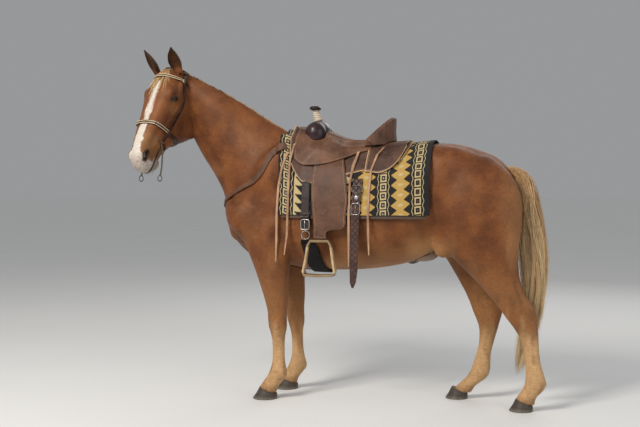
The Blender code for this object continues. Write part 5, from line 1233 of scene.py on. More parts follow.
# %% Flaxen hair
flaxen, tree, shader = new_material("flaxen hair", Roughness=0.42, Sheen_Weight=0.15, Specular_IOR_Level=0.45)
hair = place_group(tree, hair_group, Fineness=180.0, Length=0.10, Patch_Size=18.0)
root_tone = mix_colour(tree, attribute(tree, "tone"), (0.420, 0.220, 0.085), (0.640, 0.390, 0.170))
tip_tone = mix_colour(tree, attribute(tree, "tone"), (0.720, 0.480, 0.220), (0.920, 0.740, 0.460))
long_tone = mix_colour(tree, ramp(tree, attribute(tree, "along"), 0.05, 0.75), root_tone, tip_tone)
streaked = mix_colour(tree, hair.outputs["Streaks"], (0.80, 0.78, 0.74), (1.10, 1.10, 1.10))
link(tree, mix_colour(tree, 1.0, long_tone, streaked, "MULTIPLY"), shader.inputs["Base Color"])
link(tree, math_node(tree, "ADD", math_node(tree, "MULTIPLY", hair.outputs["Streaks"], 0.15), 0.34),
     shader.inputs["Roughness"])
bumped(tree, shader, hair.outputs["Depth"], 0.3, 0.001)


def along_rows(rows, row):
    low = np.clip(row.astype(int), 0, len(rows) - 2)
    table = np.array(rows)
    share = (row - low)[:, None]
    return table[low] * (1 - share) + table[low + 1] * share


TAIL_WISPS = 78
WISP_HAIRS = 24
paths, tones, facing = [], [], []
share = np.linspace(0, 1, 13)
for k in range(TAIL_WISPS):
    angle = 2.399963 * k
    start = 0.5 + 4.0 * ((k * 7) % TAIL_WISPS) / TAIL_WISPS
    end = rng.uniform(9.2, 10.0) if k % 4 == 0 else rng.uniform(6.6, 9.4)
    fullness = 0.45 + 0.55 * math.sqrt(rng.random())
    wave, tone = rng.uniform(0, 6.28), rng.random()
    row = start + (end - start) * share
    s, z, deep, wide = along_rows(TAIL, row).T
    turn = angle + 0.30 * np.sin(1.0 * row + wave)
    out = np.minimum(1.0, 0.62 + 0.38 * share * 5) * fullness
    back = np.cos(turn) * deep * out + 0.006 * np.sin(1.8 * row + wave)
    left = np.sin(turn) * wide * out
    for h in range(WISP_HAIRS):
        off = rng.normal(size=2) * 0.0085
        bow = rng.normal() * 0.003
        gather = 1.15 - 0.85 * share ** 1.2
        sway = bow * np.sin(share * 9 + h)
        points = [body_point(s[i] + back[i] + off[0] * gather[i] + sway[i], left[i] + off[1] * gather[i], z[i])
                  for i in range(13)]
        drop = rng.uniform(-0.02, 0.02)
        path = np.array([tuple(p) for p in points])
        path[:, 2] += drop * share
        path[:, 2] = np.maximum(path[:, 2], 0.12)
        paths.append(path)
        tones.append(np.clip(tone * 0.6 + rng.random() * 0.4, 0, 1))
        facing.append((math.cos(angle), -math.sin(angle), 0.02))
tail, roots = hairs("tail_hair", paths, rng.uniform(0.0016, 0.0030, len(paths)), flaxen, 0.35,
                    np.array(facing), np.array(tones))
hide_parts("tail")
print("tail:", len(paths), "hairs,", len(tail.data.polygons), "triangles")

# %% Mane on the right side of the neck
crest_rows = catmull(NECK, 8)
paths, tones, facing = [], [], []
MANE_WISPS = 74
steps = 9
for k in range(MANE_WISPS):
    place = 9 + (43 + 5 - 9) * k / (MANE_WISPS - 1)
    row = along_rows(crest_rows, np.array([min(place, len(crest_rows) - 2.0)]))[0]
    crest, throat = body_point(*row[:3]), body_point(*row[3:6])
    down = (throat - crest).normalized()
    length = (0.16 + 0.09 * math.sin(math.pi * min(k / (MANE_WISPS - 1), 1))) * rng.uniform(0.85, 1.12)
    drift, tone = rng.uniform(-0.20, 0.35), rng.random()
    for h in range(20):
        slide = rng.normal() * 0.011
        base = crest + Vector((slide, rng.normal() * 0.006, 0.55 * slide * -1.0))
        start = skin_tree.find_nearest(base)[0]
        path = [start - (start - (crest + down * 0.08)).normalized() * 0.004]
        reach = length * rng.uniform(0.86, 1.05)
        for i in range(1, steps):
            part = i / (steps - 1)
            probe = base + down * reach * part + Vector((0.10 * drift * part - slide * 0.7 * part, 0.30, 0.02))
            hit, normal, index, distance = skin_tree.ray_cast(probe, Vector((0, -1, 0)))
            if hit is None:
                hit, normal = Vector(path[-1]) + Vector((0, 0, -0.02)), Vector((0, 1, 0))
            rise = 0.004 + 0.010 * math.sin(math.pi * min(part * 1.3, 1)) * (0.5 + 0.5 * (h % 5) / 4)
            path.append(hit + normal * rise)
        paths.append([tuple(p) for p in path])
        tones.append(min(1, tone * 0.6 + rng.random() * 0.4))
        facing.append((0, 1, 0.15))
mane, roots = hairs("mane_hair", paths, rng.uniform(0.0015, 0.0028, len(paths)), flaxen, 0.35,
                    np.array(facing), np.array(tones))
print("mane:", len(paths), "hairs,", len(mane.data.polygons), "triangles")

# %% Forelock between the ears, most of it to the right
paths, tones, facing = [], [], []
FORELOCK_WISPS = 30
for k in range(FORELOCK_WISPS):
    start = -0.034 + 0.062 * k / (FORELOCK_WISPS - 1)
    length = rng.uniform(0.12, 0.29) * (1.0 if start < 0 else 0.80)
    spread = start * rng.uniform(0.5, 1.5) + (-0.012 if start < 0 else 0.010)
    tone = rng.random()
    for h in range(7):
        y0 = start + rng.normal() * 0.0035
        top = rng.normal() * 0.006
        reach = length * rng.uniform(0.70, 1.05)
        path = []
        for i in range(steps):
            part = i / (steps - 1)
            x = -0.004 + top * (1 - part) + reach * part
            y = y0 + spread * part ** 1.2 + (start - y0) * part * 0.6
            hit, normal, index, distance = skin_tree.ray_cast(head_point(x, y, 0.2), -FACE_Z)
            rise = -0.003 if i == 0 else 0.0020 + 0.005 * math.sin(math.pi * part) * (0.4 + 0.6 * (h % 4) / 3)
            path.append(tuple(hit + normal * rise))
        paths.append(path)
        tones.append(min(1, tone * 0.25 + rng.random() * 0.2))
        facing.append(tuple(FACE_Z))
forelock, roots = hairs("forelock_hair", paths, rng.uniform(0.0009, 0.0016, len(paths)), flaxen, 0.35,
                        np.array(facing), np.array(tones))
print("forelock:", len(paths), "hairs")

# %% Lashes, whiskers and the hair in the ears
paths = []
for side in (1, -1):
    slit, across, out = eye_axes(side)
    middle = head_point(*side_of(EYE_AT, side))
    for k in range(18):
        p = -0.017 + 0.034 * k / 17
        lid = across * (0.0135 * (1 - (p / 0.0215) ** 2) + 0.001)
        lid = lid if lid.dot(FACE_Z) > 0 else -lid
        root = middle + slit * p + lid + out * (EYE_RADIUS - 0.003)
        tip = root + out * 0.015 + lid.normalized() * 0.003 + slit * p * 0.3
        paths.append([tuple(root), tuple((root + tip) / 2 + lid.normalized() * -0.0015), tuple(tip)])
    root, up, front, cross = ear_frames[side]
    for k in range(150):
        share, swing = rng.uniform(0.14, 0.72), rng.uniform(-0.9, 0.9)
        edge = np.interp(share, [e[0] for e in EAR], [e[1] for e in EAR]) * 0.80
        start = root + up * share * EAR_LENGTH + cross * edge * swing - front * 0.008 * (1 - swing ** 2)
        tip = start + up * 0.016 + front * 0.012 - cross * swing * 0.012
        paths.append([tuple(start), tuple((start + tip) / 2 + front * 0.002), tuple(tip)])
for k in range(46):
    at_lip = Vector((rng.uniform(0.57, 0.64), rng.uniform(-0.045, 0.045), -0.30))
    hit, normal, index, distance = skin_tree.ray_cast(head_point(*at_lip), FACE_Z)
    if hit is not None:
        tip = hit + normal * rng.uniform(0.010, 0.022) + FACE_X * 0.006
        paths.append([tuple(hit), tuple((hit + tip) / 2), tuple(tip)])
pale_hair = coat_material("pale fine hair", 260.0, 0.22, 0.0010)
fine_hair, roots = hairs("fine_hair", paths, np.full(len(paths), 0.0008), pale_hair, 0.5)
mark(fine_hair, roots)
print("fine hair:", len(paths))

# %% [markdown]
# ## Hooves and the sheath
# These are firm forms without a thin edge. A copy of each solid is remeshed with a small voxel and
# relaxed, so the facets go and the shape stays. Horn grows down from the coronet in rings, so the
# hoof's bump follows the height.

# %% A relaxed copy of a solid
def refined(name, voxel, relax, look, most=14000):
    """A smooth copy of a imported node, of most triangles at the most, which then stands for it."""
    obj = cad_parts[name].copy()
    obj.data = obj.data.copy()
    obj.name = name + "_shaped"
    for key in list(obj.keys()):
        del obj[key]
    obj.parent = None
    scene.collection.objects.link(obj)
    only(obj)
    bpy.ops.object.mode_set(mode="EDIT")
    bpy.ops.mesh.select_all(action="SELECT")
    bpy.ops.mesh.remove_doubles(threshold=0.00005)
    bpy.ops.object.mode_set(mode="OBJECT")
    obj.data.remesh_voxel_size = voxel
    bpy.ops.object.voxel_remesh()
    smooth = obj.modifiers.new("relax", "SMOOTH")
    smooth.factor = 0.5
    smooth.iterations = relax
    bpy.ops.object.modifier_apply(modifier=smooth.name)
    made = sum(len(face.vertices) - 2 for face in obj.data.polygons)
    if made > most:
        fewer = obj.modifiers.new("fewer", "DECIMATE")
        fewer.ratio = most / made
        bpy.ops.object.modifier_apply(modifier=fewer.name)
    bpy.ops.object.shade_smooth()
    dress(obj, look)
    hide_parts(name)
    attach(obj, "root")
    return obj


horn_look, tree, shader = new_material("hoof horn", Roughness=0.55, Specular_IOR_Level=0.35)
rings_of_growth = noise(tree, object_place(tree, (6.0, 6.0, 260.0)), 1.0, 2.0)
streaks = noise(tree, object_place(tree, (220.0, 220.0, 12.0)), 1.0, 3.0)
tone = mix_colour(tree, streaks, (0.022, 0.018, 0.015), (0.085, 0.066, 0.050))
place = tree.nodes.new("ShaderNodeSeparateXYZ")
link(tree, object_place(tree), place.inputs[0])
dust = math_node(tree, "MULTIPLY", ramp(tree, place.outputs[2], 0.022, 0.004), noise(tree, object_place(tree), 90.0))
tone = mix_colour(tree, dust, tone, (0.220, 0.180, 0.140))
link(tree, tone, shader.inputs["Base Color"])
link(tree, math_node(tree, "ADD", math_node(tree, "MULTIPLY", streaks, 0.25), 0.42), shader.inputs["Roughness"])
bumped(tree, shader, math_node(tree, "ADD", rings_of_growth, math_node(tree, "MULTIPLY", streaks, 0.3)), 0.6, 0.0022)
for name in ("hoof_fore_left", "hoof_fore_right", "hoof_hind_left", "hoof_hind_right"):
    refined(name, 0.0035, 3, horn_look)

hide_skin, tree, shader = new_material("bare skin", Roughness=0.6)
fold = noise(tree, object_place(tree, (3.0, 1.0, 1.0)), 60.0, 4.0)
place = tree.nodes.new("ShaderNodeSeparateXYZ")
link(tree, object_place(tree), place.inputs[0])
ahead = ramp(tree, place.outputs[0], FEET.x + 0.845, FEET.x + 0.815)
tone = mix_colour(tree, ahead, (0.240, 0.160, 0.110), (0.012, 0.010, 0.010))
link(tree, mix_colour(tree, math_node(tree, "MULTIPLY", fold, 0.4), tone, (0.30, 0.24, 0.20)), shader.inputs["Base Color"])
bumped(tree, shader, fold, 0.6, 0.003)
refined("sheath", 0.0060, 8, hide_skin)
print("hooves and sheath shaped")

# %% [markdown]
# ## Leather
# Vegetable-tanned leather has a grain of small cells, darkens where oil gathers, and wears pale along its
# edges. The cut edge of a saddle's panels is bound or burnished, with a row of stitches beside it. Grain
# and stitches are groups, because skirts, fenders, seat, straps and bridle all use them, each at its own
# scale. The sheets store how far each point is from its rim, and the stitches read that.

# %% Groups for grain and stitches
grain_group, given, result = group_tree("leather grain", [("Scale", "Float", 420.0), ("Wear", "Float", 0.4)],
                                        [("Tone", "Float"), ("Depth", "Float"), ("Scuff", "Float")])
place = grain_group.nodes.new("ShaderNodeTexCoord").outputs["Object"]
cells = grain_group.nodes.new("ShaderNodeTexVoronoi")
cells.feature = "SMOOTH_F1"
link(grain_group, place, cells.inputs["Vector"])
link(grain_group, given.outputs["Scale"], cells.inputs["Scale"])
cloudy = noise(grain_group, place, 11.0, 5.0)
scuffed = noise(grain_group, place, 46.0, 6.0, 0.7)
link(grain_group, ramp(grain_group, cloudy, 0.28, 0.72), result.inputs["Tone"])
link(grain_group, math_node(grain_group, "ADD", cells.outputs["Distance"],
                            math_node(grain_group, "MULTIPLY", scuffed, 0.7)), result.inputs["Depth"])
link(grain_group, math_node(grain_group, "MULTIPLY", ramp(grain_group, scuffed, 0.52, 0.74), given.outputs["Wear"]),
     result.inputs["Scuff"])

stitch_group, given, result = group_tree(
    "stitches", [("Inset", "Float", 0.010), ("Length", "Float", 0.0075), ("Thickness", "Float", 0.0011)],
    [("Stitch", "Float"), ("Rim", "Float")])
edge = attribute(stitch_group, "edge")
off = math_node(stitch_group, "ABSOLUTE", math_node(stitch_group, "SUBTRACT", edge, given.outputs["Inset"]))
in_line = math_node(stitch_group, "LESS_THAN", off, given.outputs["Thickness"])
beat = math_node(stitch_group, "FRACT", math_node(stitch_group, "DIVIDE", attribute(stitch_group, "run"),
                                                  given.outputs["Length"]))
link(stitch_group, math_node(stitch_group, "MULTIPLY", in_line, math_node(stitch_group, "LESS_THAN", beat, 0.68)),
     result.inputs["Stitch"])
link(stitch_group, math_node(stitch_group, "LESS_THAN", edge, 0.0050), result.inputs["Rim"])


def leather(name, dark, light, worn, rough=0.50, wear=0.35, scale=420.0, depth=0.0010, stitched=None, rim=None,
            carved=None):
    """A leather look. stitched and rim are colours, or None, and carved builds a height for tooling."""
    material, tree, shader = new_material(name, Roughness=rough, Specular_IOR_Level=0.30)
    grain = place_group(tree, grain_group, Scale=scale, Wear=wear)
    tone = mix_colour(tree, grain.outputs["Tone"], dark, light)
    tone = mix_colour(tree, grain.outputs["Scuff"], tone, worn)
    height = grain.outputs["Depth"]
    if carved is not None:
        tooling = carved(tree)
        height = math_node(tree, "ADD", height, math_node(tree, "MULTIPLY", tooling, 3.0))
        tone = mix_colour(tree, math_node(tree, "MULTIPLY", math_node(tree, "SUBTRACT", 1.0, tooling), 0.65), tone,
                          tuple(0.35 * x for x in dark))
    if stitched is not None or rim is not None:
        stitches = place_group(tree, stitch_group)
        if rim is not None:
            tone = mix_colour(tree, stitches.outputs["Rim"], tone, rim)
        if stitched is not None:
            tone = mix_colour(tree, stitches.outputs["Stitch"], tone, stitched)
            height = math_node(tree, "ADD", height, math_node(tree, "MULTIPLY", stitches.outputs["Stitch"], 1.5))
    link(tree, tone, shader.inputs["Base Color"])
    link(tree, math_node(tree, "ADD", math_node(tree, "MULTIPLY", grain.outputs["Tone"], 0.12), rough - 0.06),
         shader.inputs["Roughness"])
    bumped(tree, shader, height, 0.55, depth)
    return material


def lattice(tree, across, along, size, line):
    """1 on the cushions of a diamond lattice and 0 in its grooves. across and along are sockets, in metres."""
    first = math_node(tree, "DIVIDE", math_node(tree, "ADD", across, along), size)
    second = math_node(tree, "DIVIDE", math_node(tree, "SUBTRACT", across, along), size)
    near = []
    for way in (first, second):
        beat = math_node(tree, "FRACT", way)
        near.append(math_node(tree, "ABSOLUTE", math_node(tree, "SUBTRACT", beat, 0.5)))
    away = math_node(tree, "SUBTRACT", 0.5, math_node(tree, "MAXIMUM", near[0], near[1]))
    return ramp(tree, away, 0.0, line)


def strap_lattice(tree):
    """Tooled diamonds down a hanging strap."""
    place = tree.nodes.new("ShaderNodeSeparateXYZ")
    link(tree, object_place(tree), place.inputs[0])
    return lattice(tree, place.outputs[0], place.outputs[2], 0.034, 0.16)


saddle_brown = leather("saddle leather", (0.060, 0.026, 0.014), (0.125, 0.055, 0.030), (0.200, 0.110, 0.068), 0.55,
                       0.45, stitched=(0.30, 0.19, 0.11))
skirt_brown = leather("skirt leather", (0.042, 0.020, 0.013), (0.095, 0.046, 0.030), (0.180, 0.105, 0.070), 0.55,
                      0.40, stitched=(0.36, 0.24, 0.14), rim=(0.460, 0.290, 0.150))
seat_brown = leather("seat leather", (0.065, 0.028, 0.015), (0.150, 0.068, 0.038), (0.230, 0.135, 0.085), 0.48,
                     0.50, stitched=(0.34, 0.22, 0.13))
swell_dark = leather("swell leather", (0.012, 0.006, 0.008), (0.034, 0.016, 0.018), (0.100, 0.060, 0.055), 0.24,
                     0.15, scale=300.0, depth=0.0006)
strap_dark = leather("dark strap leather", (0.012, 0.008, 0.007), (0.032, 0.020, 0.017), (0.095, 0.065, 0.052), 0.42)
billet_dark = leather("tooled strap leather", (0.032, 0.014, 0.012), (0.085, 0.040, 0.032), (0.160, 0.090, 0.070),
                      0.42, carved=strap_lattice, depth=0.0018)
bridle_dark = leather("bridle leather", (0.016, 0.008, 0.007), (0.050, 0.023, 0.018), (0.130, 0.075, 0.055), 0.38,
                      0.30, 520.0, 0.0008)
string_tan = leather("string leather", (0.240, 0.125, 0.070), (0.430, 0.260, 0.155), (0.560, 0.380, 0.250), 0.60,
                     0.50, 700.0, 0.0006)


def stirrup_wrap(tree):
    """Rawhide on the arms, with a lighter height on the wrapped top and tread."""
    place = tree.nodes.new("ShaderNodeSeparateXYZ")
    link(tree, object_place(tree), place.inputs[0])
    top = ramp(tree, place.outputs[2], 0.895, 0.885)
    tread = ramp(tree, place.outputs[2], 0.742, 0.752)
    return math_node(tree, "MULTIPLY", top, tread)


rawhide = leather("rawhide", (0.340, 0.220, 0.110), (0.560, 0.400, 0.220), (0.240, 0.150, 0.085), 0.45, 0.35, 260.0,
                  carved=stirrup_wrap)
print("nine leathers")

# %% [markdown]
# ## Sheets over the back
# Blanket, liner, skirts, fenders, seat and rear jockey all lie round the barrel. Each is a plane
# primitive cut into a fine grid. A grid point is sent in along a ray towards the middle of the trunk until
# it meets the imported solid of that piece, and the distances are relaxed so that no facet stays. Solidify
# gives the thickness. The grid keeps real metres in its UV map, so weave and tooling keep their size.

# %% Wrap a grid on a packed sheet
BARREL_Z = 1.12


def round_rays(columns, turns):
    """Rays towards the middle of the trunk. columns is a list of (s, first turn, last turn) in degrees."""
    starts = np.zeros((len(columns), turns, 3))
    ways = np.zeros_like(starts)
    for i, (s, first, last) in enumerate(columns):
        for j, turn in enumerate(np.linspace(math.radians(first), math.radians(last), turns)):
            out = Vector((0, -math.sin(turn), math.cos(turn)))
            starts[i, j] = body_point(s, 0, BARREL_Z) + out * 0.9
            ways[i, j] = -out
    return starts, ways


def side_rays(rows, side, count, levels):
    """Rays straight in from one side. rows is a list of (front s, rear s, front z, rear z), from the top down."""
    fine = catmull(rows, 12)
    steps = np.linspace(0, len(fine) - 1, levels)
    smooth = np.column_stack([np.interp(steps, np.arange(len(fine)), fine[:, k]) for k in range(4)])
    starts = np.zeros((count, levels, 3))
    for j, (front, rear, front_z, rear_z) in enumerate(smooth):
        for i, w in enumerate(np.linspace(0, 1, count)):
            starts[i, j] = body_point(front + w * (rear - front), side * 0.9, front_z + w * (rear_z - front_z))
    ways = np.tile(np.array([0.0, float(side), 0.0]), (count, levels, 1))
    return starts, ways


def wrap(name, node_names, rays, thick, relax, look):
    """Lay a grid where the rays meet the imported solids."""
    tree = tree_of(*[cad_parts[n] for n in node_names])
    starts, ways = rays
    count, turns = starts.shape[:2]
    reach = np.full((count, turns), np.nan)
    for i in range(count):
        for j in range(turns):
            distance = tree.ray_cast(Vector(starts[i, j]), Vector(ways[i, j]), 0.9)[3]
            if distance is not None:
                reach[i, j] = distance
    for sweep in range(60):
        empty = np.isnan(reach)
        if not empty.any():
            break
        padded = np.pad(reach, 1, constant_values=np.nan)
        near = np.stack([padded[:-2, 1:-1], padded[2:, 1:-1], padded[1:-1, :-2], padded[1:-1, 2:]])
        with np.errstate(all="ignore"):
            mean = np.nanmean(near, axis=0)
        reach[empty] = mean[empty]
    for sweep in range(relax):
        padded = np.pad(reach, 1, mode="edge")
        reach = 0.5 * reach + 0.125 * (padded[:-2, 1:-1] + padded[2:, 1:-1] + padded[1:-1, :-2] + padded[1:-1, 2:])
    bpy.ops.mesh.primitive_grid_add(x_subdivisions=count - 1, y_subdivisions=turns - 1, size=1)
    obj = bpy.context.object
    obj.name = name
    grid = coordinates(obj.data)
    column = np.rint((grid[:, 0] + 0.5) * (count - 1)).astype(int)
    level = np.rint((grid[:, 1] + 0.5) * (turns - 1)).astype(int)
    points = starts + ways * reach[..., None]
    set_coordinates(obj.data, points[column, level])
    steps_v = np.linalg.norm(np.diff(points, axis=1), axis=2)
    arc = np.concatenate([np.zeros((count, 1)), np.cumsum(steps_v, axis=1)], axis=1)
    steps_u = np.linalg.norm(np.diff(points, axis=0), axis=2)
    run_u = np.concatenate([np.zeros((1, turns)), np.cumsum(steps_u, axis=0)], axis=0)
    from_u = np.minimum(run_u, run_u[-1:] - run_u)
    from_v = np.minimum(arc, arc[:, -1:] - arc)
    edge = np.minimum(from_u, from_v)
    run = np.where(from_u < from_v, arc, run_u)
    s = points[..., 0] - FEET.x
    astride = (points[count // 2, 0, 1] - FEET.y) * (points[count // 2, -1, 1] - FEET.y) < 0
    across = arc - arc[:, turns // 2:turns // 2 + 1] if astride else arc
    for title, values in (("edge", edge), ("run", run)):
        store = obj.data.attributes.new(title, "FLOAT", "POINT")
        store.data.foreach_set("value", values[column, level].astype(np.float32))
    layer = obj.data.uv_layers[0]
    layer.name = "metres"
    loops = np.empty(len(obj.data.loops), np.int32)
    obj.data.loops.foreach_get("vertex_index", loops)
    metres = np.column_stack([s[column, level], across[column, level]])
    layer.data.foreach_set("uv", metres[loops].astype(np.float32).ravel())
    obj.data.uv_layers.active = layer
    layer.active_render = True
    only(obj)
    bpy.ops.object.mode_set(mode="EDIT")
    bpy.ops.mesh.select_all(action="SELECT")
    bpy.ops.mesh.normals_make_consistent(inside=False)
    bpy.ops.object.mode_set(mode="OBJECT")
    middle_face = obj.data.polygons[len(obj.data.polygons) // 2]
    if middle_face.normal.dot(middle_face.center - body_point(0.45, 0, BARREL_Z)) < 0:
        obj.data.flip_normals()
    area = sum(p.area for p in obj.data.polygons)
    wall = obj.modifiers.new("thickness", "SOLIDIFY")
    wall.thickness = thick
    wall.offset = -1
    bpy.ops.object.modifier_apply(modifier=wall.name)
    round_off = obj.modifiers.new("edge", "BEVEL")
    round_off.width = min(0.0018, thick * 0.3)
    round_off.segments = 2
    round_off.limit_method = "ANGLE"
    round_off.angle_limit = math.radians(50)
    bpy.ops.object.modifier_apply(modifier=round_off.name)
    bpy.ops.object.shade_smooth_by_angle(angle=math.radians(42))
    dress(obj, look)
    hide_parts(*node_names)
    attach(obj, "root")
    print(name, len(obj.data.polygons), "faces, flat", round(area, 3), "square metres")
    return obj, arc, area


def across_columns(node_names, first, last, count, z):
    """Columns from one side's hem over the back to the other's."""
    tree = tree_of(*[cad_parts[n] for n in node_names])
    columns = []
    for s in np.linspace(first, last, count):
        columns.append([s, -hem_turn(tree, s, z, -1), hem_turn(tree, s, z, 1)])
    return evened(columns)


def hem_turn(tree, s, z, side):
    """The turn at which the sheet reaches down to height z, or where it ends."""
    last = 90.0
    for turn in np.linspace(1, 128, 255):
        a = math.radians(turn) * side
        out = Vector((0, -math.sin(a), math.cos(a)))
        hit = tree.ray_cast(body_point(s, 0, BARREL_Z) + out * 0.9, -out, 0.9)[0]
        if hit is not None:
            last = turn
            if hit.z < z:
                break
    return last


def evened(columns):
    """The hem's turns relaxed along the sheet."""
    table = np.array(columns, float)
    for sweep in range(3):
        inner = 0.5 * table[1:-1, 1:] + 0.25 * (table[:-2, 1:] + table[2:, 1:])
        table[1:-1, 1:] = inner
    return [tuple(row) for row in table]


# %% [markdown]
# ### The woven blanket
# A saddle blanket of this kind is black wool with bands of pattern that run down each side: chains of
# little squares between wavy lines, rows of stepped triangles and stepped diamonds. The sheet's UV map
# holds metres, u from front to rear and v down from the spine, so a band is a range of u and its repeat
# a length in v. A group makes the three patterns from one band, and the material places it seven times.

# %% Weave and bands
band_group, given, result = group_tree(
    "woven band", [("From", "Float", 0.0), ("To", "Float", 0.1), ("Pitch", "Float", 0.05)],
    [("Chain", "Float"), ("Heart", "Float"), ("Teeth", "Float"), ("Steps", "Float"), ("Core", "Float")])
metres = band_group.nodes.new("ShaderNodeUVMap")
metres.uv_map = "metres"
split = band_group.nodes.new("ShaderNodeSeparateXYZ")
wobble = noise(band_group, object_place(band_group), 14.0, 2.0)
link(band_group, metres.outputs[0], split.inputs[0])
u = math_node(band_group, "ADD", split.outputs[0], math_node(band_group, "MULTIPLY", math_node(
    band_group, "SUBTRACT", wobble, 0.5), 0.006))
width = math_node(band_group, "SUBTRACT", given.outputs["To"], given.outputs["From"])
w = math_node(band_group, "DIVIDE", math_node(band_group, "SUBTRACT", u, given.outputs["From"]), width)
inside = math_node(band_group, "MULTIPLY", math_node(band_group, "GREATER_THAN", w, 0.0),
                   math_node(band_group, "LESS_THAN", w, 1.0))
beat = math_node(band_group, "FRACT", math_node(band_group, "DIVIDE", split.outputs[1], given.outputs["Pitch"]))
from_middle = math_node(band_group, "MULTIPLY", math_node(band_group, "ABSOLUTE", math_node(
    band_group, "SUBTRACT", beat, 0.5)), 2.0)
from_line = math_node(band_group, "MULTIPLY", math_node(band_group, "ABSOLUTE", math_node(
    band_group, "SUBTRACT", w, 0.5)), 2.0)
step_v = math_node(band_group, "DIVIDE", math_node(band_group, "FLOOR", math_node(
    band_group, "MULTIPLY", from_middle, 6.0)), 6.0)
square = math_node(band_group, "MAXIMUM", math_node(band_group, "MULTIPLY", from_line, 1.7),
                   math_node(band_group, "MULTIPLY", from_middle, 1.0))
ring_out = math_node(band_group, "LESS_THAN", square, 0.86)
ring_in = math_node(band_group, "GREATER_THAN", square, 0.52)
ring = math_node(band_group, "MULTIPLY", ring_out, ring_in)
border = math_node(band_group, "SUBTRACT", 0.88, math_node(band_group, "MULTIPLY", step_v, 0.22))
line_low = math_node(band_group, "GREATER_THAN", from_line, border)
line_high = math_node(band_group, "LESS_THAN", from_line, math_node(band_group, "ADD", border, 0.10))
chain = math_node(band_group, "MAXIMUM", ring, math_node(band_group, "MULTIPLY", line_low, line_high))
link(band_group, math_node(band_group, "MULTIPLY", chain, inside), result.inputs["Chain"])
heart = math_node(band_group, "LESS_THAN", square, 0.22)
link(band_group, math_node(band_group, "MULTIPLY", heart, inside), result.inputs["Heart"])
teeth = math_node(band_group, "LESS_THAN", w, math_node(band_group, "SUBTRACT", 1.0, step_v))
link(band_group, math_node(band_group, "MULTIPLY", teeth, inside), result.inputs["Teeth"])
tooth = math_node(band_group, "SUBTRACT", 0.96, math_node(band_group, "MULTIPLY", step_v, 0.68))
link(band_group, math_node(band_group, "MULTIPLY", math_node(band_group, "LESS_THAN", from_line, tooth), inside),
     result.inputs["Steps"])
core = math_node(band_group, "LESS_THAN", math_node(band_group, "ADD", from_line, step_v), 0.30)
link(band_group, math_node(band_group, "MULTIPLY", core, inside), result.inputs["Core"])

wool, tree, shader = new_material("woven wool", Roughness=0.95, Sheen_Weight=0.04, Specular_IOR_Level=0.15)
BLACK = (0.012, 0.011, 0.012)
CREAM = (0.560, 0.440, 0.230)
STRAW = (0.520, 0.330, 0.095)
BROWN_YARN = (0.130, 0.070, 0.040)
fuzz = noise(tree, object_place(tree), 260.0, 4.0, 0.7)
tone = mix_colour(tree, fuzz, BLACK, (0.034, 0.031, 0.032))
BANDS = [
    (0.074, 0.152, 0.050, "Chain", CREAM), (0.074, 0.152, 0.050, "Heart", (0.360, 0.300, 0.220)),
    (0.160, 0.212, 0.050, "Teeth", CREAM), (0.212, 0.262, 0.050, "Chain", CREAM),
    (0.285, 0.365, 0.056, "Steps", STRAW), (0.285, 0.365, 0.056, "Core", CREAM),
    (0.380, 0.450, 0.050, "Chain", CREAM), (0.465, 0.525, 0.050, "Teeth", CREAM),
    (0.540, 0.645, 0.056, "Steps", STRAW), (0.540, 0.645, 0.056, "Core", CREAM),
    (0.654, 0.724, 0.050, "Chain", CREAM), (0.654, 0.724, 0.050, "Heart", (0.360, 0.300, 0.220)),
    (0.732, 0.836, 0.056, "Steps", STRAW), (0.732, 0.836, 0.056, "Core", CREAM),
    (0.844, 0.914, 0.050, "Chain", CREAM), (0.844, 0.914, 0.050, "Heart", BROWN_YARN),
]
placed = {}
for start, end, pitch, out, colour in BANDS:
    if (start, end) not in placed:
        placed[start, end] = place_group(tree, band_group, From=start, To=end, Pitch=pitch)
    worn = math_node(tree, "MULTIPLY", placed[start, end].outputs[out], ramp(tree, fuzz, 0.05, 0.45))
    tone = mix_colour(tree, worn, tone, colour)
link(tree, tone, shader.inputs["Base Color"])
metres = tree.nodes.new("ShaderNodeUVMap")
metres.uv_map = "metres"
split = tree.nodes.new("ShaderNodeSeparateXYZ")
link(tree, metres.outputs[0], split.inputs[0])
weft = math_node(tree, "ABSOLUTE", math_node(tree, "SINE", math_node(tree, "MULTIPLY", split.outputs[1], 1250.0)))
warp = math_node(tree, "ABSOLUTE", math_node(tree, "SINE", math_node(tree, "MULTIPLY", split.outputs[0], 900.0)))
yarn = math_node(tree, "ADD", math_node(tree, "MULTIPLY", weft, 0.8), math_node(tree, "MULTIPLY", warp, 0.4))
lumps = noise(tree, object_place(tree), 35.0, 3.0)
bumped(tree, shader, math_node(tree, "ADD", yarn, math_node(tree, "ADD", fuzz, math_node(
    tree, "MULTIPLY", lumps, 1.2))), 0.7, 0.0022)

felt_look, tree, shader = new_material("felt", Roughness=0.95, Sheen_Weight=0.10)
fuzz = noise(tree, object_place(tree), 330.0, 5.0, 0.7)
cloud = noise(tree, object_place(tree), 16.0, 4.0)
link(tree, mix_colour(tree, math_node(tree, "ADD", math_node(tree, "MULTIPLY", fuzz, 0.6),
                                      math_node(tree, "MULTIPLY", cloud, 0.5)), (0.030, 0.018, 0.013),
                      (0.125, 0.080, 0.058)), shader.inputs["Base Color"])
bumped(tree, shader, fuzz, 0.8, 0.0018)

blanket_cloth, arc, area = wrap(
    "blanket_cloth", ["blanket"], round_rays(across_columns(["blanket"], 0.064, 0.942, 71, 1.071), 181), 0.0080, 6, wool)
felt_pad, arc, area = wrap(
    "felt_pad", ["felt_liner"], round_rays(across_columns(["felt_liner"], 0.082, 0.920, 61, 1.051), 161),
    0.0058, 6, felt_look)

# %% [markdown]
# ### Skirts, fenders, seat and rear jockey
# The skirts lie on the blanket, the fenders hang over them and the seat's jockeys close the top. Their
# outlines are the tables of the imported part, run through a spline, so the hem has no corners.

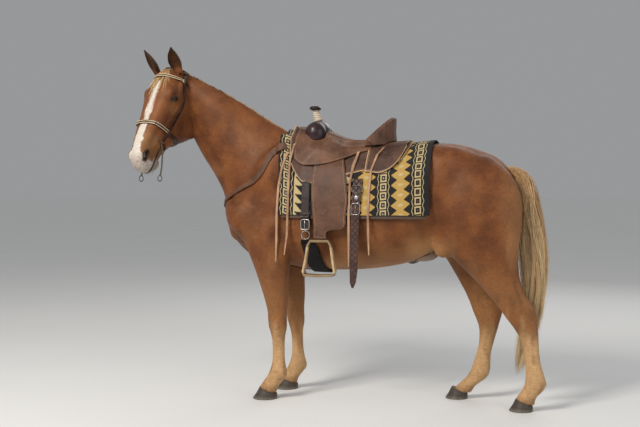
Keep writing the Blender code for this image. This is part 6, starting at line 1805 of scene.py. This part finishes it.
# %% The saddle's panels
SKIRT_HEM = [(0.125, 1.365), (0.200, 1.250), (0.300, 1.240), (0.420, 1.275), (0.530, 1.300), (0.640, 1.325),
             (0.740, 1.350), (0.800, 1.400), (0.822, 1.460)]
SEAT_HEM = [(0.150, 1.400), (0.200, 1.350), (0.290, 1.344), (0.370, 1.357), (0.450, 1.387), (0.530, 1.420),
            (0.600, 1.438)]
JOCKEY_REACH = [(0.600, 56), (0.660, 58), (0.720, 54), (0.770, 44), (0.800, 26)]
FENDER_ROWS = [(0.285, 0.445, 1.395, 1.395), (0.275, 0.462, 1.330, 1.335), (0.272, 0.480, 1.240, 1.240),
               (0.278, 0.490, 1.150, 1.155), (0.286, 0.482, 1.070, 1.075), (0.292, 0.470, 1.005, 1.000),
               (0.290, 0.375, 0.985, 0.980), (0.288, 0.368, 0.935, 0.935)]


def table_value(rows, s):
    """The second column of a table at s, along a spline."""
    fine = catmull(rows, 12)
    return float(np.interp(s, fine[:, 0], fine[:, 1]))


def side_columns(node_name, side, first, last, count, hem, top):
    """Columns from the top of a skirt down to its hem."""
    tree = tree_of(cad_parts[node_name])
    columns = []
    for s in np.linspace(first, last, count):
        low = max(hem_turn(tree, s, table_value(hem, s) + 0.002, side), top + 2)
        columns.append((s, side * top, side * low))
    return evened(columns)


saddle_skirts = []
for side, word in ((1, "left"), (-1, "right")):
    skirt, arc, area = wrap(
        "skirt_" + word, ["saddle_skirt_" + word],
        round_rays(side_columns("saddle_skirt_" + word, side, 0.129, 0.818, 61, SKIRT_HEM, 10), 49), 0.0055, 4,
        skirt_brown)
    fender, arc, area = wrap(
        "fender_panel_" + word, ["fender_" + word], side_rays(FENDER_ROWS, side, 25, 71), 0.0045, 3, saddle_brown)
seat_tree = tree_of(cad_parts["saddle_seat"])
seat_columns = []
for s in np.linspace(0.156, 0.594, 53):
    low = [hem_turn(seat_tree, s, table_value(SEAT_HEM, s) + 0.002, side) for side in (-1, 1)]
    seat_columns.append((s, -low[0], low[1]))
seat, arc, area = wrap("seat_leather", ["saddle_seat"], round_rays(evened(seat_columns), 97), 0.0060, 4, seat_brown)
rear_columns = []
for s in np.linspace(0.580, 0.796, 34):
    reach_turn = table_value(JOCKEY_REACH, max(s, 0.604))
    rear_columns.append((s, -reach_turn, reach_turn))
rear, arc, area = wrap("rear_jockey_leather", ["rear_jockey"], round_rays(rear_columns, 81), 0.0050, 4, skirt_brown)

# %% [markdown]
# ### Tree, straps and rawhide
# Swell, cantle, horn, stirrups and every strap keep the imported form. Their copies are remeshed with a
# voxel well under their thickness and relaxed, so that each strap has the soft, rounded edge of burnished
# leather.

# %% Firm saddle parts and straps
wrap_leather, tree, shader = new_material("horn wrap", Roughness=0.60)
place = tree.nodes.new("ShaderNodeSeparateXYZ")
link(tree, object_place(tree), place.inputs[0])
slant = math_node(tree, "ADD", place.outputs[2], math_node(tree, "MULTIPLY", place.outputs[1], 0.12))
lap = math_node(tree, "FRACT", math_node(tree, "DIVIDE", slant, 0.011))
cloud = noise(tree, object_place(tree), 60.0, 4.0)
tone = mix_colour(tree, cloud, (0.420, 0.330, 0.240), (0.660, 0.560, 0.440))
# The dark brown at the edge of each lap is painted shade between the laps; the same groove also sets the bump.
groove = ramp(tree, math_node(tree, "ABSOLUTE", math_node(tree, "SUBTRACT", lap, 0.5)), 0.50, 0.36)
link(tree, mix_colour(tree, groove, (0.150, 0.095, 0.060), tone), shader.inputs["Base Color"])
bumped(tree, shader, math_node(tree, "ADD", groove, math_node(tree, "MULTIPLY", cloud, 0.3)), 0.9, 0.0020)

metal, tree, shader = new_material("steel", Metallic=1.0)
worn = noise(tree, object_place(tree), 140.0, 5.0, 0.65)
link(tree, mix_colour(tree, worn, (0.300, 0.290, 0.280), (0.620, 0.610, 0.600)), shader.inputs["Base Color"])
link(tree, math_node(tree, "ADD", math_node(tree, "MULTIPLY", worn, 0.35), 0.16), shader.inputs["Roughness"])
bumped(tree, shader, worn, 0.25, 0.0006)

dark_metal, tree, shader = new_material("browned steel", Metallic=1.0)
worn = noise(tree, object_place(tree), 120.0, 5.0, 0.65)
link(tree, mix_colour(tree, worn, (0.045, 0.038, 0.032), (0.200, 0.170, 0.140)), shader.inputs["Base Color"])
link(tree, math_node(tree, "ADD", math_node(tree, "MULTIPLY", worn, 0.30), 0.28), shader.inputs["Roughness"])
bumped(tree, shader, worn, 0.30, 0.0006)

cord, tree, shader = new_material("cinch cord", Roughness=0.95, Specular_IOR_Level=0.2)
place = tree.nodes.new("ShaderNodeSeparateXYZ")
link(tree, object_place(tree), place.inputs[0])
strand = math_node(tree, "ABSOLUTE", math_node(tree, "SINE", math_node(tree, "MULTIPLY", place.outputs[0], 520.0)))
ply = math_node(tree, "ABSOLUTE", math_node(tree, "SINE", math_node(tree, "MULTIPLY", math_node(
    tree, "ADD", place.outputs[1], math_node(tree, "ADD", place.outputs[2], math_node(
        tree, "MULTIPLY", place.outputs[0], 0.6))), 900.0)))
cloud = noise(tree, object_place(tree), 180.0, 4.0)
link(tree, mix_colour(tree, math_node(tree, "MULTIPLY", strand, cloud), (0.006, 0.006, 0.006), (0.040, 0.038, 0.036)),
     shader.inputs["Base Color"])
bumped(tree, shader, math_node(tree, "ADD", strand, math_node(tree, "MULTIPLY", ply, 0.4)), 0.9, 0.0028)

FIRM = [
    ("saddle_swell", 0.0040, 40, swell_dark, "swell_leather"), ("saddle_cantle", 0.0038, 5, seat_brown, "saddle_leather"),
    ("horn_wrap", 0.0022, 3, wrap_leather, "horn_wrap_leather"), ("saddle_horn", 0.0022, 8, swell_dark, "dark_leather"),
    ("stirrup_left", 0.0026, 3, rawhide, "stirrup_rawhide"), ("stirrup_right", 0.0026, 3, rawhide, "stirrup_rawhide"),
    ("cinch", 0.0032, 3, cord, "cinch_web"),
    ("latigo_left", 0.0016, 3, strap_dark, "dark_leather"), ("latigo_right", 0.0016, 3, strap_dark, "dark_leather"),
    ("billet_left", 0.0018, 3, billet_dark, "dark_leather"), ("billet_right", 0.0018, 3, billet_dark, "dark_leather"),
    ("breast_strap_left", 0.0018, 4, saddle_brown, "saddle_leather"),
    ("breast_strap_right", 0.0018, 4, saddle_brown, "saddle_leather"),
    ("breast_tie_down", 0.0018, 4, saddle_brown, "saddle_leather"),
    ("browband", 0.0014, 3, bridle_dark, "bridle_leather"), ("noseband", 0.0014, 3, bridle_dark, "bridle_leather"),
    ("crown_strap", 0.0014, 3, bridle_dark, "bridle_leather"), ("throatlatch", 0.0013, 3, bridle_dark, "bridle_leather"),
    ("curb_strap", 0.0013, 3, bridle_dark, "bridle_leather"),
    ("cheekpiece_left", 0.0014, 3, bridle_dark, "bridle_leather"),
    ("cheekpiece_right", 0.0014, 3, bridle_dark, "bridle_leather"),
]
for name, voxel, relax, look, slot in FIRM:
    refined(name, voxel, relax, look)
for word in ("left", "right"):
    for place in ("front_a", "front_b", "middle", "rear"):
        refined("string_" + place + "_" + word, 0.0012, 3, string_tan, 7000)
    refined("bit_" + word, 0.0011, 2, dark_metal)
    refined("cinch_ring_" + word, 0.0012, 2, metal)
refined("breast_ring", 0.0012, 2, metal)
print("firm parts shaped")

# %% [markdown]
# ### Piping, buckles and conchos
# Browband and noseband carry two raised lines of pale cord. Each cord is a curve through points found on
# the outer face of its strap. Buckles are bent bars too, and conchos are flattened spheres.

# %% Cords, buckles and conchos
cord_pale, tree, shader = new_material("pale cord", Roughness=0.60)
place = object_place(tree, (1.0, 1.0, 1.0))
cloud = noise(tree, place, 420.0, 3.0)
link(tree, mix_colour(tree, cloud, (0.420, 0.290, 0.150), (0.760, 0.620, 0.420)), shader.inputs["Base Color"])
bumped(tree, shader, cloud, 0.6, 0.0008)
brass, tree, shader = new_material("brass", Metallic=1.0)
worn = noise(tree, object_place(tree), 160.0, 4.0)
link(tree, mix_colour(tree, worn, (0.520, 0.340, 0.110), (0.760, 0.560, 0.230)), shader.inputs["Base Color"])
link(tree, math_node(tree, "ADD", math_node(tree, "MULTIPLY", worn, 0.3), 0.2), shader.inputs["Roughness"])


def bar(name, points, radius, look, closed=False, ride_on=None):
    """A round bar or cord through points, as a mesh."""
    curve = bpy.data.curves.new(name, "CURVE")
    curve.dimensions = "3D"
    spline = curve.splines.new("POLY")
    spline.points.add(len(points) - 1)
    for knot, point in zip(spline.points, points):
        knot.co = (*point, 1)
    spline.use_cyclic_u = closed
    curve.bevel_depth = radius
    curve.bevel_resolution = 3
    curve.use_fill_caps = True
    obj = bpy.data.objects.new(name, curve)
    scene.collection.objects.link(obj)
    only(obj)
    bpy.ops.object.convert(target="MESH")
    obj = bpy.context.object
    bpy.ops.object.mode_set(mode="EDIT")
    bpy.ops.mesh.select_all(action="SELECT")
    bpy.ops.mesh.remove_doubles(threshold=0.00002)
    bpy.ops.mesh.normals_make_consistent(inside=False)
    bpy.ops.object.mode_set(mode="OBJECT")
    bpy.ops.object.shade_smooth()
    dress(obj, look)
    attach(obj, "root")
    return obj


def round_strap(tree, guess, turn, shift, lift):
    """The point over a head strap at a turn about the head, shift off its middle line."""
    a = math.radians(turn)
    way = FACE_Y * math.sin(a) + FACE_Z * math.cos(a)
    found = []
    for x in np.linspace(guess - 0.035, guess + 0.035, 71):
        if tree.ray_cast(head_point(x, 0, -0.12) + way * 0.4, -way, 0.4)[0] is not None:
            found.append(x)
    if not found:
        return None
    x = found[len(found) // 2] + shift
    hit = tree.ray_cast(head_point(x, 0, -0.12) + way * 0.4, -way, 0.4)[0]
    return None if hit is None else hit + way * lift


for name, guess, turns, apart in (("browband", 0.062, 78, 0.0062), ("noseband", 0.388, 100, 0.0070)):
    strap = tree_of(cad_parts[name])
    for k, shift in enumerate((-apart, apart)):
        points = [round_strap(strap, guess, turn, shift, 0.0008) for turn in np.linspace(-turns, turns, 27)]
        bar(name + "_cord_" + str(k + 1), [p for p in points if p is not None], 0.0023, cord_pale)


def block(name, middle, axes, size, look, round_edge=0.25):
    """A bevelled block. axes are three unit vectors and size its three lengths."""
    bpy.ops.mesh.primitive_cube_add(size=1)
    obj = bpy.context.object
    obj.name = name
    co = coordinates(obj.data) * np.array(size)
    set_coordinates(obj.data, co @ np.array(axes) + np.array(middle))
    only(obj)
    bpy.ops.object.mode_set(mode="EDIT")
    bpy.ops.mesh.select_all(action="SELECT")
    bpy.ops.mesh.normals_make_consistent(inside=False)
    bpy.ops.object.mode_set(mode="OBJECT")
    soften = obj.modifiers.new("edge", "BEVEL")
    soften.width = min(size) * round_edge
    soften.segments = 3
    bpy.ops.object.modifier_apply(modifier=soften.name)
    bpy.ops.object.shade_smooth_by_angle(angle=math.radians(40))
    dress(obj, look)
    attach(obj, "root")
    return obj


strap = tree_of(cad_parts["browband"])
for side, word in ((1, "left"), (-1, "right")):
    end = next(turn for turn in range(90, 20, -1) if round_strap(strap, 0.062, side * turn, 0.0, 0.0) is not None)
    spots = [round_strap(strap, 0.062, side * (end - back), 0.0, 0.0010) for back in (9, 5, 1)]
    spot, along = spots[1], (spots[0] - spots[2]).normalized()
    a = math.radians(end - 5)
    out = (FACE_Y * side * math.sin(a) + FACE_Z * math.cos(a)).normalized()
    out = (out - along * out.dot(along)).normalized()
    block("browband_keeper_" + word, spot, (along, out.cross(along), out), (0.017, 0.024, 0.0050), brass)


def strap_spot(node_name, z, side, lift):
    """The middle of a hanging strap at height z, its outer face, and the strap's width there."""
    tree = tree_of(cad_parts[node_name])
    low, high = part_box(node_name)
    found = []
    for x in np.linspace(low[0], high[0], 61):
        hit = tree.ray_cast(Vector((x, FEET.y - side * 0.9, z)), Vector((0, side, 0)), 0.9)
        if hit[0] is not None:
            found.append(hit)
    middle = found[len(found) // 2]
    return middle[0] + middle[1] * lift, middle[1], found[-1][0].x - found[0][0].x


def frame_buckle(name, node_name, z, side, tall, extra, radius, look):
    """A rounded rectangle of bar round a hanging strap."""
    spot, out, width = strap_spot(node_name, z, side, radius * 0.8)
    along = (UP - out * UP.dot(out)).normalized()
    across = along.cross(out)
    half_w, half_t = width / 2 + extra, tall / 2
    points = []
    for k in range(32):
        a = 2 * math.pi * k / 32
        c, s = math.cos(a), math.sin(a)
        points.append(spot + across * half_w * math.copysign(abs(c) ** 0.45, c)
                      + along * half_t * math.copysign(abs(s) ** 0.45, s))
    ring = bar(name, points, radius, look, closed=True)
    tongue = bar(name + "_tongue", [spot - along * half_t * 0.9 + out * radius, spot + out * radius * 1.6,
                                    spot + along * half_t * 1.05 + out * radius], radius * 0.7, look)
    return ring, tongue


def concho(name, node_name, z, side, radius, look):
    spot, out, width = strap_spot(node_name, z, side, 0.0)
    bpy.ops.mesh.primitive_uv_sphere_add(segments=40, ring_count=20, radius=1)
    obj = bpy.context.object
    obj.name = name
    along = (UP - out * UP.dot(out)).normalized()
    co = coordinates(obj.data)
    turn, far = np.arctan2(co[:, 1], co[:, 0]), np.hypot(co[:, 0], co[:, 1])
    petals = 1 + 0.05 * np.cos(turn * 12) * far
    co = co * np.column_stack([petals, petals, np.ones(len(co))]) * np.array([radius, radius, radius * 0.30])
    set_coordinates(obj.data, co @ np.array([along.cross(out), along, out]) + np.array(spot))
    bpy.ops.object.shade_smooth()
    dress(obj, look)
    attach(obj, "root")
    return obj


for side, word in ((1, "left"), (-1, "right")):
    frame_buckle("billet_buckle_" + word, "billet_" + word, 1.215, side, 0.038, 0.004, 0.0024, dark_metal)
    frame_buckle("billet_keeper_" + word, "billet_" + word, 1.105, side, 0.062, 0.001, 0.0016, metal)
    concho("billet_concho_" + word, "billet_" + word, 1.168, side, 0.0110, metal)
    frame_buckle("latigo_buckle_" + word, "latigo_" + word, 1.016, side, 0.056, 0.004, 0.0030, metal)
    frame_buckle("latigo_keeper_" + word, "latigo_" + word, 1.070, side, 0.020, 0.003, 0.0022, dark_metal)
print("cords, buckles and conchos")

# %% [markdown]
# ## Floor, light and camera
# The model stands on a plain pale floor in soft studio light: a large lamp above and behind the camera,
# a weaker one from the far side, and a pale world. The camera is at the height of the horse's chest.

# %% Studio
bpy.ops.mesh.primitive_plane_add(size=400, location=(0, 0, 0))
floor = bpy.context.object
floor.name = "floor"
floor_look, tree, shader = new_material("studio floor", Roughness=0.85)
shade = mix_colour(tree, noise(tree, object_place(tree), 0.6), (0.66, 0.66, 0.65), (0.72, 0.72, 0.71))
link(tree, shade, shader.inputs["Base Color"])
dress(floor, floor_look)

world = bpy.data.worlds.new("studio")
world.use_nodes = True
world.node_tree.nodes["Background"].inputs["Color"].default_value = (0.93, 0.94, 0.96, 1)
seen = world.node_tree.nodes.new("ShaderNodeLightPath").outputs["Is Camera Ray"]
dimmed = math_node(world.node_tree, "SUBTRACT", 0.46, math_node(world.node_tree, "MULTIPLY", seen, 0.125))
link(world.node_tree, dimmed, world.node_tree.nodes["Background"].inputs["Strength"])
scene.world = world

VIEW = Vector((-0.2536, 0.967, 0.0))
CAMERA_AT = Vector((FEET.x + 1.747, FEET.y - 5.707, 1.21))


def lamp(name, place, aim, power, size, colour):
    bpy.ops.object.light_add(type="AREA", location=place)
    obj = bpy.context.object
    obj.name = name
    obj.data.energy = power
    obj.data.size = size
    obj.data.color = colour
    obj.rotation_euler = (Vector(aim) - Vector(place)).to_track_quat("-Z", "Y").to_euler()
    return obj


lamp("key", (-2.6, -5.2, 5.2), (0, 0, 1.0), 440, 2.0, (1.0, 0.95, 0.87))
lamp("fill", (4.6, -3.6, 3.0), (0, 0, 1.0), 85, 4.0, (0.92, 0.96, 1.0))
lamp("back", (1.5, 5.5, 4.6), (0, 0, 1.2), 85, 4.0, (1.0, 0.98, 0.95))

bpy.ops.object.camera_add(location=CAMERA_AT)
camera = bpy.context.object
camera.rotation_euler = VIEW.to_track_quat("-Z", "Y").to_euler()
camera.data.lens = 56.25
camera.data.sensor_width = 36
camera.data.shift_y = -(213.5 - 190) / 640
scene.camera = camera
scene.view_settings.view_transform = "Standard"
print("camera at", tuple(round(x, 3) for x in camera.location))
